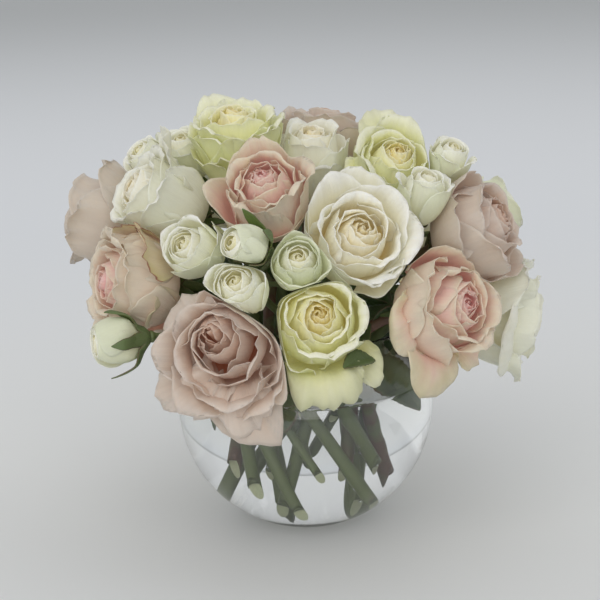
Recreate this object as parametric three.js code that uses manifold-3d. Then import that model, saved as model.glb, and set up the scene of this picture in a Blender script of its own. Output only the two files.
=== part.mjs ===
// A low table centrepiece: garden roses and spray roses in a domed cluster, their stems crossing
// in a round glass bowl of water. Millimetres, +Z up, origin at the middle of the bowl's base,
// front towards -Y. Angles are in degrees. An azimuth is measured from the front towards +X.
import * as THREE from "three";
import { mergeVertices } from "three/addons/utils/BufferGeometryUtils.js";
import Module from "manifold-3d";

const wasm = await Module();
wasm.setup();

// Driving dimensions
const CLEARANCE = 0.35; // between pieces that rest on or in each other
const BOWL = { radius: 76, wall: 2.6, base: 28.7, floor: 6, rim: 118, segments: 28, arcSteps: 7 };
const WATER_LEVEL = 86;
const PETAL_THICKNESS = 1.0;
// How far a solid's facets may move when slivers are merged
const FACET_TOLERANCE = { petals: 0.03, green: 0.3, water: 0.3 };
const STEM = { rose: 3.3, spray: 2.2, branch: 1.6, sides: 5 };
const HIP = { rose: { radius: 5, length: 9 }, spray: { radius: 3.4, length: 6 } };
const SEPAL = {
  rose: { length: 21, thickness: 0.9, lean: -38 },
  spray: { length: 13, thickness: 0.8, lean: -20 },
  bud: { width: 6, thickness: 0.8, gap: 0.6, flare: 3, inset: 0.14 },
};
const LEAF = { width: 0.27, thickness: 0.9, fold: 0.35, droop: 0.18 };

// The room that a bloom's petals have: margin is half the gap kept to a neighbour, soft the share
// of the room that petals fill freely before they begin to crowd, blend how round its corners are.
const ROOM = { margin: 1.0, soft: 0.78, blend: 8, bowlGap: 1.2 };

const BOWL_CENTRE = Math.sqrt(BOWL.radius ** 2 - BOWL.base ** 2);

// How the petals of a bloom open, each list from the innermost petal to the outermost. rho and z
// are shares of the bloom's radius and height: two guide points of a petal's meridian, then the
// start of its lip. lip is the lip's length over the height, and tip the angle that it ends at.
// whorls lists each whorl's count of petals and its place from the heart (0) to the outside (1),
// and columns is the count of facets round the bloom.
const STAGES = {
  open: {
    columns: 15,
    whorls: [[5, 1], [5, 0.62], [3, 0.28]],
    rho1: [0.14, 0.3, 0.46, 0.6, 0.66],
    z1: [0.08, 0.04, 0.03, 0.0, -0.02],
    rho2: [0.13, 0.29, 0.48, 0.68, 0.86],
    z2: [0.62, 0.56, 0.48, 0.36, 0.16],
    rho3: [0.05, 0.2, 0.41, 0.64, 0.88],
    z3: [0.9, 0.87, 0.8, 0.63, 0.38],
    lip: [0.04, 0.1, 0.17, 0.23, 0.28],
    tip: [80, 50, 12, -25, -42],
  },
  cup: {
    columns: 15,
    whorls: [[5, 1], [5, 0.62], [3, 0.28]],
    rho1: [0.14, 0.34, 0.52, 0.68, 0.74],
    z1: [0.08, 0.05, 0.03, 0.01, -0.01],
    rho2: [0.13, 0.33, 0.55, 0.76, 0.9],
    z2: [0.7, 0.66, 0.6, 0.5, 0.32],
    rho3: [0.04, 0.2, 0.42, 0.67, 0.86],
    z3: [0.95, 0.93, 0.88, 0.76, 0.54],
    lip: [0.04, 0.08, 0.12, 0.18, 0.25],
    tip: [95, 70, 45, 5, -32],
  },
  spray: {
    columns: 12,
    whorls: [[4, 1], [3, 0.5]],
    rho1: [0.2, 0.42, 0.62, 0.78, 0.86],
    z1: [0.08, 0.05, 0.03, 0.01, 0.0],
    rho2: [0.2, 0.42, 0.64, 0.84, 0.98],
    z2: [0.72, 0.68, 0.62, 0.54, 0.4],
    rho3: [0.06, 0.24, 0.48, 0.74, 0.95],
    z3: [0.94, 0.93, 0.9, 0.8, 0.66],
    lip: [0.04, 0.07, 0.1, 0.13, 0.16],
    tip: [95, 75, 55, 25, -10],
  },
  bud: {
    columns: 9,
    whorls: [[3, 0.9], [2, 0.35]],
    rho1: [0.4, 0.66, 0.84, 0.98, 1.05],
    z1: [0.1, 0.07, 0.05, 0.03, 0.02],
    rho2: [0.4, 0.66, 0.82, 0.94, 1.02],
    z2: [0.8, 0.76, 0.72, 0.66, 0.6],
    rho3: [0.12, 0.3, 0.44, 0.56, 0.7],
    z3: [0.97, 0.96, 0.95, 0.92, 0.88],
    lip: [0.03, 0.04, 0.05, 0.06, 0.09],
    tip: [95, 92, 85, 70, 25],
  },
};
const STAGE_KNOTS = [0, 0.3, 0.55, 0.8, 1];

const COLOURS = {
  dusty: 0xd0b2a6,
  cream: 0xeeead6,
  blush: 0xe9c2b6,
  lemon: 0xe4e0a2,
  ivory: 0xeceddb,
  green: 0x566b3a,
  glass: 0xdfe8ea,
  water: 0xd5dfdf,
};

// The roses. heart is the top of a bloom's middle, face its azimuth and elevation, size its
// radius and height, slot the stem's ring and place in the mouth of the bowl, spin the turn of its
// petals. guards are the large outer petals that stand out of the round: angle seen from the
// bloom's front, reach over the radius, height over the bloom's height, and half width over the
// radius. leaf is one on the stem: place along its neck, azimuth, elevation, roll and length.
const ROSES = [
  {
    name: "dusty_front", colour: "dusty", stage: "open",
    heart: [-56, -109, 140], face: [-20, 14], size: [50, 42], slot: ["outer", 0], spin: 40,
    guards: [[-70, 1.34, 0.16, 0.62], [-133, 1.14, 0.2, 0.58]],
  },
  {
    name: "lemon_front", colour: "lemon", stage: "cup",
    heart: [8, -103, 151], face: [3, 28], size: [41, 44], slot: ["outer", 1], spin: 300,
    guards: [[-88, 1.22, 0.4, 0.9], [-36, 1.16, 0.12, 0.55]],
    leaf: [0.65, 22, -20, 26, 43],
  },
  {
    name: "blush_right", colour: "blush", stage: "cup",
    heart: [90, -78, 148], face: [42, 16], size: [45, 44], slot: ["outer", 2], spin: 10,
    guards: [[-110, 1.16, 0.3, 0.8], [-170, 1.04, 0.36, 0.65]],
    leaf: [0.91, 116, 9, -63, 47],
  },
  {
    name: "cream_right", colour: "cream", stage: "cup",
    heart: [136, -8, 119], face: [88, -8], size: [44, 42], slot: ["outer", 3], spin: 120,
    guards: [[-120, 1.15, 0.45, 0.65]],
    leaf: [0.84, 146, 29, -48, 45],
  },
  {
    name: "cream_back_right", colour: "cream", stage: "open",
    heart: [96, 82, 148], face: [130, 14], size: [48, 44], slot: ["outer", 5], spin: 70,
    leaf: [0.74, 185, -23, 39, 47],
  },
  {
    name: "blush_back", colour: "blush", stage: "cup",
    heart: [6, 126, 146], face: [178, 12], size: [48, 45], slot: ["outer", 6], spin: 200,
    leaf: [0.91, 104, -15, 81, 46],
  },
  {
    name: "lemon_back_left", colour: "lemon", stage: "open",
    heart: [-92, 86, 148], face: [228, 14], size: [48, 44], slot: ["outer", 7], spin: 330,
    leaf: [0.73, 270, -21, 52, 46],
  },
  {
    name: "dusty_left", colour: "dusty", stage: "cup",
    heart: [-131, 26, 183], face: [256, 14], size: [41, 42], slot: ["outer", 8], spin: 90,
    leaf: [0.94, 185, 47, 75, 47],
  },
  {
    name: "blush_left", colour: "blush", stage: "cup",
    heart: [-112, -50, 158], face: [-62, 10], size: [46, 44], slot: ["outer", 9], spin: 250,
    guards: [[80, 1.04, 0.5, 0.75]],
    leaf: [0.82, -130, -3, 82, 46],
  },
  {
    name: "cream_centre", colour: "cream", stage: "open",
    heart: [33, -78, 192], face: [12, 34], size: [46, 42], slot: ["middle", 1], spin: 150,
    guards: [[-60, 1.12, 0.34, 0.58]],
  },
  {
    name: "dusty_right", colour: "dusty", stage: "cup",
    heart: [114, -32, 187], face: [70, 28], size: [47, 44], slot: ["middle", 3], spin: 20,
    leaf: [0.89, 129, 16, 80, 47],
  },
  {
    name: "dusty_back_right", colour: "dusty", stage: "open",
    heart: [56, 70, 206], face: [140, 44], size: [46, 43], slot: ["middle", 4], spin: 280,
    leaf: [0.81, 190, 19, 29, 48],
  },
  {
    name: "cream_back_left", colour: "cream", stage: "cup",
    heart: [-48, 76, 204], face: [213, 44], size: [46, 43], slot: ["middle", 5], spin: 60,
    leaf: [0.88, 172, 14, -32, 42],
  },
  {
    name: "cream_left", colour: "cream", stage: "cup",
    heart: [-95, -24, 207], face: [-68, 34], size: [40, 46], slot: ["middle", 7], spin: 310,
    leaf: [0.86, -126, 31, -65, 50],
  },
  {
    name: "blush_upper", colour: "blush", stage: "cup",
    heart: [-21, -60, 218], face: [-8, 46], size: [41, 44], slot: ["middle", 8], spin: 190,
    guards: [[-70, 1.06, 0.3, 0.75]],
  },
  {
    name: "lemon_right", colour: "lemon", stage: "cup",
    heart: [56, -20, 223], face: [20, 48], size: [37, 42], slot: ["inner", 0], spin: 230,
    guards: [[95, 1, 0.9, 0.6], [-170, 1.06, 0.7, 0.5]],
  },
  {
    name: "dusty_top", colour: "dusty", stage: "open",
    heart: [18, 40, 238], face: [150, 76], size: [46, 42], slot: ["inner", 1], spin: 100,
  },
  {
    name: "lemon_top", colour: "lemon", stage: "open",
    heart: [-38, -4, 246], face: [-20, 76], size: [41, 44], slot: ["inner", 2], spin: 0,
  },
  {
    name: "cream_top", colour: "cream", stage: "cup",
    heart: [7, -2, 232], face: [6, 72], size: [33, 42], slot: ["inner", 3], spin: 140,
  },
];

// Small roses and buds on branching stems. from is where the branches leave the main stem.
const SPRAYS = [
  {
    name: "front", slot: ["middle", 0], from: [-24, -38, 146],
    heads: [
      {
        name: "front_left", stage: "spray", heart: [-66, -70, 184],
        face: [-34, 34], size: [23, 27], spin: 30,
      },
      {
        name: "front_low", stage: "spray", heart: [-37, -97, 169],
        face: [-14, 42], size: [24, 26], spin: 110,
      },
      {
        name: "front_right", stage: "spray", heart: [-2, -90, 180],
        face: [2, 42], size: [23, 26], spin: 210,
      },
      {
        name: "front_bud", stage: "bud", heart: [-40, -92, 189],
        face: [-50, 20], size: [16, 29], spin: 300,
      },
    ],
  },
  {
    name: "left", slot: ["outer", 10], from: [-46, -44, 124.5],
    heads: [
      {
        name: "left_bud", stage: "bud", heart: [-119, -76, 129],
        face: [-74, -2], size: [18, 34], spin: 60,
      },
    ],
  },
  {
    name: "right", slot: ["middle", 2], from: [46, -16, 158],
    heads: [
      {
        name: "right_high", stage: "spray", heart: [89, -12, 224],
        face: [40, 58], size: [16, 28], spin: 160,
      },
      {
        name: "right_low", stage: "spray", heart: [71, -42, 213],
        face: [24, 66], size: [19, 32], spin: 20,
      },
    ],
  },
  {
    name: "upper_left", slot: ["middle", 6], from: [-38, 14, 168],
    heads: [
      {
        name: "upper_left_inner", stage: "spray", heart: [-69, 8, 229],
        face: [-34, 60], size: [19, 28], spin: 250,
      },
      {
        name: "upper_left_outer", stage: "spray", heart: [-95, 14, 222],
        face: [-66, 46], size: [18, 26], spin: 80,
      },
    ],
  },
  {
    name: "back", slot: ["outer", 4], from: [36, 38, 140],
    heads: [
      {
        name: "back_right", stage: "spray", heart: [42, 108, 184],
        face: [158, 30], size: [23, 27], spin: 200,
      },
      {
        name: "back_left", stage: "spray", heart: [-42, 108, 184],
        face: [203, 30], size: [23, 27], spin: 320,
      },
      {
        name: "right_side", stage: "spray", heart: [126, 42, 178],
        face: [108, 20], size: [25, 28], spin: 40,
      },
    ],
  },
];

// The rings of stems. slot and foot are radii in the mouth of the bowl and near its floor, with
// their heights, start is the azimuth of the first slot, and twist the turn down to the foot.
// trims are the shares of that line cut off at the foot, which every third stem repeats.
const RINGS = {
  outer: {
    count: 11, start: -27, slot: 41, slotHeight: 106, foot: 40, footHeight: 17, twist: 88,
    trims: [0, 0.22, 0.1],
  },
  middle: {
    count: 9, start: -10, slot: 27, slotHeight: 112, foot: 22, footHeight: 12, twist: -70,
    trims: [0.25, 0.05, 0.5],
  },
  inner: {
    count: 4, start: 70, slot: 11, slotHeight: 116, foot: 9, footHeight: 10, twist: 50,
    trims: [0.6, 0.45, 0.55],
  },
};

const radians = THREE.MathUtils.degToRad;
const roses = ROSES.map((one) => placed({ scale: "rose", guards: [], ...one }));
const sprays = SPRAYS.map((group) => ({
  ...group,
  heads: group.heads.map((one) => placed({ scale: "spray", guards: [], colour: "ivory", ...one })),
}));
const blooms = [...roses, ...sprays.flatMap((group) => group.heads)];
blooms.forEach((bloom, index) => Object.assign(bloom, { index }));

// Gives a bloom its axis, its side and up directions, its seat on the stem and its middle.
function placed(bloom) {
  const [azimuth, elevation] = bloom.face.map(radians);
  const axis = new THREE.Vector3(
    Math.sin(azimuth) * Math.cos(elevation),
    -Math.cos(azimuth) * Math.cos(elevation),
    Math.sin(elevation),
  );
  const side = new THREE.Vector3(0, 0, 1).cross(axis).normalize();
  const up = axis.clone().cross(side);
  const [radius, height] = bloom.size;
  const seat = new THREE.Vector3(...bloom.heart).addScaledVector(axis, -height);
  const middle = seat.clone().addScaledVector(axis, 0.55 * height);
  const reach = bloom.stage === "bud" ? radius : 0.9 * radius;
  return { ...bloom, axis, side, up, radius, height, seat, middle, reach };
}

// A repeatable number from 0 to 1 for the petal k of a bloom.
function jitter(bloom, k, channel) {
  const wave = Math.sin(bloom.index * 12.9898 + k * 78.233 + channel * 37.719) * 43758.5453;
  return wave - Math.floor(wave);
}

function smooth(x) {
  const c = Math.min(1, Math.max(0, x));
  return c * c * (3 - 2 * c);
}

// Reads a stage's list of values at t, from 0 (innermost) to 1 (outermost).
function along(values, t) {
  let i = 0;
  while (i < STAGE_KNOTS.length - 2 && t > STAGE_KNOTS[i + 1]) i += 1;
  const share = (t - STAGE_KNOTS[i]) / (STAGE_KNOTS[i + 1] - STAGE_KNOTS[i]);
  return values[i] + (values[i + 1] - values[i]) * share;
}

// A petal of a whorl at t, from the heart (0) to the outside (1).
function petalOf(bloom, t, lift = 1) {
  const stage = STAGES[bloom.stage];
  const r = bloom.radius;
  const h = bloom.height;
  return {
    root: [0.08 * r, 0.06 * h],
    guide1: [along(stage.rho1, t) * r, along(stage.z1, t) * h],
    guide2: [along(stage.rho2, t) * r, along(stage.z2, t) * h * lift],
    lipStart: [along(stage.rho3, t) * r, along(stage.z3, t) * h * lift],
    lipLength: along(stage.lip, t) * h,
    tipAngle: along(stage.tip, t),
    sideCurl: 55 * t,
    tuck: 0.06 * r,
    drop: 0.28,
  };
}

// A large outer petal that reaches past the round of the bloom.
function guardOf(bloom, [angle, reach, level, width]) {
  const r = bloom.radius;
  const h = bloom.height;
  return {
    angle,
    root: [0.08 * r, 0.05 * h],
    guide1: [0.62 * r, -0.03 * h],
    guide2: [(reach - 0.42) * r, (level - 0.06) * h],
    lipStart: [(reach - 0.16) * r, level * h],
    lipLength: 0.16 * r,
    tipAngle: -34,
    swing: (width / Math.max(reach - 0.16, 0.62)) * (180 / Math.PI),
    sideCurl: 30,
    tuck: 0,
    drop: 0.34,
  };
}

// Radius and height of a petal's middle surface: u from -1 to 1 across it, v from 0 at the root
// to 1. A Bezier curve carries the meridian to the lip, and an arc of even curvature bends the lip.
function meridian(petal, u, v) {
  const lipShare = 0.74;
  const height = v * (1 - petal.drop * Math.abs(u) ** 3);
  const [r0, z0] = petal.root;
  const [r1, z1] = petal.guide1;
  const [r2, z2] = petal.guide2;
  const [r3, z3] = petal.lipStart;
  const s = Math.min(1, height / lipShare);
  const b = [(1 - s) ** 3, 3 * s * (1 - s) ** 2, 3 * s * s * (1 - s), s ** 3];
  let rho = b[0] * r0 + b[1] * r1 + b[2] * r2 + b[3] * r3;
  let z = b[0] * z0 + b[1] * z1 + b[2] * z2 + b[3] * z3;
  const q = Math.max(0, (height - lipShare) / (1 - lipShare));
  if (q > 0) {
    const start = Math.atan2(z3 - z2, r3 - r2);
    const turn = radians(petal.tipAngle - petal.sideCurl * Math.abs(u) ** 1.5) - start;
    const bend = Math.abs(turn) < 1e-4 ? 1e-4 : turn;
    rho += (petal.lipLength / bend) * (Math.sin(start + bend * q) - Math.sin(start));
    z -= (petal.lipLength / bend) * (Math.cos(start + bend * q) - Math.cos(start));
  }
  return [rho + petal.tuck * u * smooth(height * 2), z];
}

// A point beside the middle surface, off by a distance along the meridian's normal: a positive
// offset lies on the heart's side.
function beside(petal, u, v, offset) {
  const [rho, z] = meridian(petal, u, v);
  const [aheadRho, aheadZ] = meridian(petal, u, v + 0.01);
  const [behindRho, behindZ] = meridian(petal, u, v - 0.01);
  const [dr, dz] = [aheadRho - behindRho, aheadZ - behindZ];
  const length = Math.hypot(dr, dz);
  return [rho - (offset * dz) / length, z + (offset * dr) / length];
}

function guardPoint(petal, u, v) {
  const height = v * (1 - petal.drop * Math.abs(u) ** 3);
  const [rho, z] = meridian(petal, u, v);
  const swing = petal.swing * (0.35 + 0.65 * smooth(height / 0.6));
  return around(rho, radians(petal.angle + u * swing), z);
}

// Moves a point from a bloom's own frame to the frame of the whole.
function toWorld(bloom, p) {
  return bloom.seat
    .clone()
    .addScaledVector(bloom.side, p.x)
    .addScaledVector(bloom.up, p.y)
    .addScaledVector(bloom.axis, p.z);
}

// A point given as radius, angle about the axis and height in a bloom's own frame.
function around(rho, angle, z) {
  return new THREE.Vector3(rho * Math.cos(angle), rho * Math.sin(angle), z);
}

function onCircle(radius, azimuth, z) {
  const a = radians(azimuth);
  return new THREE.Vector3(radius * Math.sin(a), -radius * Math.cos(a), z);
}

// The straight lower part of a stem: its foot in the water, and the slot where it bends outwards.
function slotLine([ring, place]) {
  const { count, start, slot, slotHeight, foot, footHeight, twist, trims } = RINGS[ring];
  const azimuth = start + (place * 360) / count;
  const mouth = onCircle(slot, azimuth, slotHeight);
  const floor = onCircle(foot, azimuth + twist, footHeight + (place % 3) * 3);
  return { foot: floor.lerp(mouth, trims[place % 3]), slot: mouth };
}

// A neck that leaves a point along a direction and meets a bloom's hip along the bloom's axis.
function neck(from, direction, bloom) {
  const end = bloom.seat.clone().addScaledVector(bloom.axis, -0.6 * HIP[bloom.scale].length);
  const span = from.distanceTo(end);
  return new THREE.CubicBezierCurve3(
    from,
    from.clone().addScaledVector(direction, 0.45 * span),
    end.clone().addScaledVector(bloom.axis, -0.3 * span),
    end,
  );
}

function roseNeck(bloom) {
  const { foot, slot } = slotLine(bloom.slot);
  return neck(slot, slot.clone().sub(foot).normalize(), bloom);
}

// The trunk of a spray's stem, from its slot to where it branches.
function trunk(group) {
  const { foot, slot } = slotLine(group.slot);
  const direction = slot.clone().sub(foot).normalize();
  const from = new THREE.Vector3(...group.from);
  const span = slot.distanceTo(from);
  const outward = from.clone().sub(slot).normalize();
  const curve = new THREE.CubicBezierCurve3(
    slot,
    slot.clone().addScaledVector(direction, 0.4 * span),
    from.clone().addScaledVector(outward, -0.4 * span),
    from,
  );
  return { foot, curve, from, outward };
}

function branchNeck(group, bloom) {
  const { from, outward } = trunk(group);
  return neck(from.clone().addScaledVector(outward, -STEM.spray), outward, bloom);
}

// Beads strung along the stems above the mouth of the bowl, for other blooms to keep clear of.
function beads(curve, count, radius, serves) {
  return curve.getPoints(count).map((centre) => ({ centre, radius, serves }));
}

function neckBeads(curve, count, radius, bloom) {
  const strung = beads(curve, count, radius, [bloom]);
  return [...strung, { ...strung.at(-1), radius: HIP[bloom.scale].radius }];
}

const stemBeads = [
  ...roses.flatMap((bloom) => neckBeads(roseNeck(bloom), 8, STEM.rose, bloom)),
  ...sprays.flatMap((group) => [
    ...beads(trunk(group).curve, 5, STEM.spray, group.heads),
    ...group.heads.flatMap((one) => neckBeads(branchNeck(group, one), 6, STEM.branch, one)),
  ]),
];

// The planes that bound a bloom's room: one to each neighbour, with wider blooms taking more of
// the space between, one to each near bead of another stem, and one to the bowl. Each is a unit
// direction and its distance from the bloom's middle.
function roomOf(bloom) {
  const planeTo = (centre, distanceOf) => {
    const direction = centre.clone().sub(bloom.middle);
    const span = direction.length();
    return { direction: direction.divideScalar(span), distance: distanceOf(span) - ROOM.margin };
  };
  const neighbours = blooms
    .filter((other) => other !== bloom)
    .map((other) =>
      planeTo(other.middle, (span) => (span * bloom.reach) / (bloom.reach + other.reach)),
    );
  const stems = stemBeads
    .filter(({ centre, serves }) => !serves.includes(bloom)
      && centre.distanceTo(bloom.middle) < 1.3 * bloom.radius)
    .map(({ centre, radius }) => planeTo(centre, (span) => span - radius));
  const bowl = planeTo(
    new THREE.Vector3(0, 0, BOWL_CENTRE),
    (span) => span - BOWL.radius - ROOM.bowlGap,
  );
  return [...neighbours, ...stems, bowl];
}

for (const bloom of blooms) bloom.room = roomOf(bloom);

// Presses a point back towards the bloom's middle, so that petals crowd against their neighbours
// and never pass the planes of the bloom's room. What lies close to the seat stays in place.
function pressed(bloom, p) {
  const away = p.clone().sub(bloom.middle);
  const length = away.length();
  if (length < 1e-6) return p;
  const direction = away.divideScalar(length);
  let sum = 0;
  for (const plane of bloom.room) {
    const towards = direction.dot(plane.direction);
    if (towards > 0) sum += (towards / Math.max(plane.distance, 0.5)) ** ROOM.blend;
  }
  const exit = sum ** (-1 / ROOM.blend);
  const share = length / exit;
  if (share <= ROOM.soft) return p;
  const left = 1 - ROOM.soft;
  const kept = ROOM.soft + left * (1 - Math.exp((ROOM.soft - share) / left));
  const target = bloom.middle.clone().addScaledVector(direction, kept * exit);
  return p.clone().lerp(target, smooth((p.distanceTo(bloom.seat) - 4) / 8));
}

// Moves a point of a bloom's own frame to the whole's, pressed into the bloom's room.
function settle(bloom, p) {
  return pressed(bloom, toWorld(bloom, p));
}

// A closed geometry as a solid, with its faces turned outwards.
function solid(geometry) {
  const bare = new THREE.BufferGeometry();
  bare.setAttribute("position", geometry.getAttribute("position"));
  bare.setIndex(geometry.index);
  const merged = mergeVertices(bare, 1e-4);
  const vertProperties = new Float32Array(merged.getAttribute("position").array);
  const corners = [];
  const index = merged.index.array;
  for (let i = 0; i < index.length; i += 3) {
    const [a, b, c] = [index[i], index[i + 1], index[i + 2]];
    if (a !== b && b !== c && c !== a) corners.push(a, b, c);
  }
  const make = (list) =>
    new wasm.Manifold(
      new wasm.Mesh({ numProp: 3, vertProperties, triVerts: new Uint32Array(list) }),
    );
  const made = make(corners);
  return made.volume() > 0 ? made : make(corners.reverse());
}

function fromFaces(points, faces) {
  const geometry = new THREE.BufferGeometry().setFromPoints(points);
  geometry.setIndex(faces);
  return solid(geometry);
}

// Merges the slivers that a union leaves, and drops loose scraps.
function tidied(body, tolerance) {
  const plain = body.asOriginal().simplify(tolerance);
  return plain.decompose().reduce((best, one) => (one.volume() > best.volume() ? one : best));
}

// A closed blade of even thickness round a surface. Both faces are split into triangles alike.
function blade(surface, us, vs, thickness) {
  const step = 0.01;
  const front = [];
  const back = [];
  for (const v of vs) {
    for (const u of us) {
      const p = surface(u, v);
      const du = surface(u + step, v).sub(surface(u - step, v));
      const dv = surface(u, v + step).sub(surface(u, v - step));
      const normal = du.cross(dv).normalize();
      front.push(p.clone().addScaledVector(normal, thickness / 2));
      back.push(p.clone().addScaledVector(normal, -thickness / 2));
    }
  }
  const n = us.length;
  const m = vs.length;
  const shift = n * m;
  const faces = [];
  for (let j = 0; j < m - 1; j += 1) {
    for (let i = 0; i < n - 1; i += 1) {
      const a = j * n + i;
      const [b, c, d] = [a + 1, a + n + 1, a + n];
      faces.push(a, b, c, a, c, d);
      faces.push(a + shift, c + shift, b + shift, a + shift, d + shift, c + shift);
    }
  }
  const rim = [];
  for (let i = 0; i < n - 1; i += 1) rim.push([i, i + 1]);
  for (let j = 0; j < m - 1; j += 1) rim.push([j * n + n - 1, (j + 1) * n + n - 1]);
  for (let i = n - 1; i > 0; i -= 1) rim.push([(m - 1) * n + i, (m - 1) * n + i - 1]);
  for (let j = m - 1; j > 0; j -= 1) rim.push([j * n, (j - 1) * n]);
  for (const [a, b] of rim) faces.push(a, a + shift, b + shift, a, b + shift, b);
  return fromFaces([...front, ...back], faces);
}

// Faces between rings of points, each ring the same number of points after the one before. The
// rings after which the wall descends are split along the other diagonal, so that the two sides of
// a thin wall are split alike.
function wallFaces(first, rings, n, descending = []) {
  const faces = [];
  for (let j = 0; j < rings - 1; j += 1) {
    for (let k = 0; k < n; k += 1) {
      const a = first + j * n + k;
      const b = first + j * n + ((k + 1) % n);
      if (descending.includes(j)) faces.push(a, b, a + n, b, b + n, a + n);
      else faces.push(a, b, b + n, a, b + n, a + n);
    }
  }
  return faces;
}

// A closed rod of changing radius along a line of points.
function rod(points, radii) {
  const n = STEM.sides;
  const corners = [];
  let across = new THREE.Vector3(1, 0, 0);
  points.forEach((point, i) => {
    const before = points[Math.max(0, i - 1)];
    const after = points[Math.min(points.length - 1, i + 1)];
    const tangent = after.clone().sub(before).normalize();
    across.addScaledVector(tangent, -across.dot(tangent)).normalize();
    const other = tangent.clone().cross(across);
    for (let k = 0; k < n; k += 1) {
      const a = (k * 2 * Math.PI) / n;
      corners.push(
        point
          .clone()
          .addScaledVector(across, radii[i] * Math.cos(a))
          .addScaledVector(other, radii[i] * Math.sin(a)),
      );
    }
  });
  const faces = wallFaces(0, points.length, n);
  const last = (points.length - 1) * n;
  for (let k = 1; k < n - 1; k += 1) faces.push(0, k + 1, k, last, last + k, last + k + 1);
  return fromFaces(corners, faces);
}

// Whorls of petals, one in another, as one closed body: a turned surface that climbs the outside
// of each whorl, crosses its rim and falls to the foot of the next. Every petal has its own
// rounded top, and one edge laid out over its neighbour's.
function whorlSolid(bloom) {
  const { columns, whorls } = STAGES[bloom.stage];
  const half = PETAL_THICKNESS / 2;
  const rows = [];
  const descending = [];
  whorls.forEach(([count, t], order) => {
    const outside = order === 0 ? [[0.32, -half], [0.76, -half]] : [[0.5, -half]];
    const lip = order === 0 ? [[0.76, half]] : [];
    for (const [v, offset] of [...outside, [1, -half], [1, half], ...lip]) {
      if (offset > 0) descending.push(rows.length);
      const row = [];
      for (let c = 0; c < columns; c += 1) {
        const place = (c / columns) * count + order / 2;
        const petal = Math.floor(place);
        const u = 2 * (place - petal) - 1 + count / columns;
        const lift = 1 + 0.1 * (jitter(bloom, petal % count, count) - 0.5);
        const [rho, z] = beside(petalOf(bloom, t, lift), u, v, offset);
        row.push(around(rho, radians(bloom.spin + (c * 360) / columns), z));
      }
      rows.push(row);
    }
  });
  const foot = new THREE.Vector3(0, 0, CLEARANCE);
  const heart = new THREE.Vector3(0, 0, 0.82 * bloom.height);
  const inset = bloom.stage === "bud" ? SEPAL.bud.inset : 0;
  const points = [foot, ...rows.flat(), heart].map((local) => {
    const p = settle(bloom, local);
    return p.lerp(bloom.middle, inset * smooth((p.distanceTo(bloom.seat) - 3) / 5));
  });
  const top = points.length - 1;
  const faces = wallFaces(1, rows.length, columns, descending);
  for (let c = 0; c < columns; c += 1) {
    const next = (c + 1) % columns;
    const end = top - columns;
    faces.push(0, 1 + next, 1 + c, end + c, end + next, top);
  }
  return fromFaces(points, faces);
}

function bloomSolid(bloom) {
  let body = whorlSolid(bloom);
  for (const guard of bloom.guards.map((one) => guardOf(bloom, one))) {
    const surface = (u, v) => settle(bloom, guardPoint(guard, u, v));
    body = body.add(blade(surface, [-1, 0, 1], [0.3, 0.7, 1], PETAL_THICKNESS));
  }
  return tidied(body, FACET_TOLERANCE.petals);
}

// A neck with the bloom's hip as its end, after the points of the stem below it.
function neckRod(curve, bloom, radius, below = []) {
  const { radius: wide, length } = HIP[bloom.scale];
  const onNeck = [0, 0.25, 0.5, 0.75, 0.97].map((t) => curve.getPoint(t));
  const onHip = [-0.42, -0.05].map((share) =>
    bloom.seat.clone().addScaledVector(bloom.axis, share * length),
  );
  const slim = [...below, ...onNeck];
  return rod([...slim, ...onHip], [...slim.map(() => radius), wide, 0.82 * wide]);
}

// The sepals under an open bloom: a five-pointed star that leans back from the petals.
function starSolid(bloom) {
  const { length, thickness, lean } = SEPAL[bloom.scale];
  const [across, along] = [Math.cos(radians(lean)), Math.sin(radians(lean))];
  const points = [];
  for (const z of [-0.9, -0.9 - thickness]) {
    points.push(toWorld(bloom, new THREE.Vector3(0, 0, z)));
    for (let i = 0; i < 10; i += 1) {
      const reach = i % 2 ? 0.9 * HIP[bloom.scale].radius : length;
      const angle = radians(bloom.spin + i * 36 + 20);
      points.push(settle(bloom, around(reach * across, angle, z + reach * along)));
    }
  }
  const faces = [];
  for (let i = 0; i < 10; i += 1) {
    const [a, b] = [1 + i, 1 + ((i + 1) % 10)];
    faces.push(0, a, b, 11, b + 11, a + 11, a, a + 11, b + 11, a, b + 11, b);
  }
  return fromFaces(points, faces);
}

// A sepal on a bud: it follows the bud's outer petals a little way off, and flares at its tip.
function budSepalPoint(bloom, i, u, v) {
  const { width, gap, flare } = SEPAL.bud;
  const root = [0.5 * HIP[bloom.scale].radius, -1.2];
  const onBud = beside(petalOf(bloom, 0.9), 0, 0.1 + 0.62 * v, -gap - flare * v * v);
  const share = Math.min(1, v / 0.3);
  const [rho, z] = root.map((from, k) => from + (onBud[k] - from) * share);
  const half = (width / 2) * (1 - 0.25 * v - 0.6 * v * v);
  return around(rho, radians(bloom.spin + i * 72 + 20) + (u * half) / Math.max(rho, 1.5), z);
}

function budSepals(bloom) {
  return Array.from({ length: 5 }, (_, i) => {
    const surface = (u, v) => settle(bloom, budSepalPoint(bloom, i, u, v));
    return blade(surface, [-1, 1], [0, 0.3, 0.65, 1], SEPAL.bud.thickness);
  });
}

function withSepals(body, bloom) {
  const sepals = bloom.stage === "bud" ? budSepals(bloom) : [starSolid(bloom)];
  return sepals.reduce((whole, one) => whole.add(one), body);
}

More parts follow.
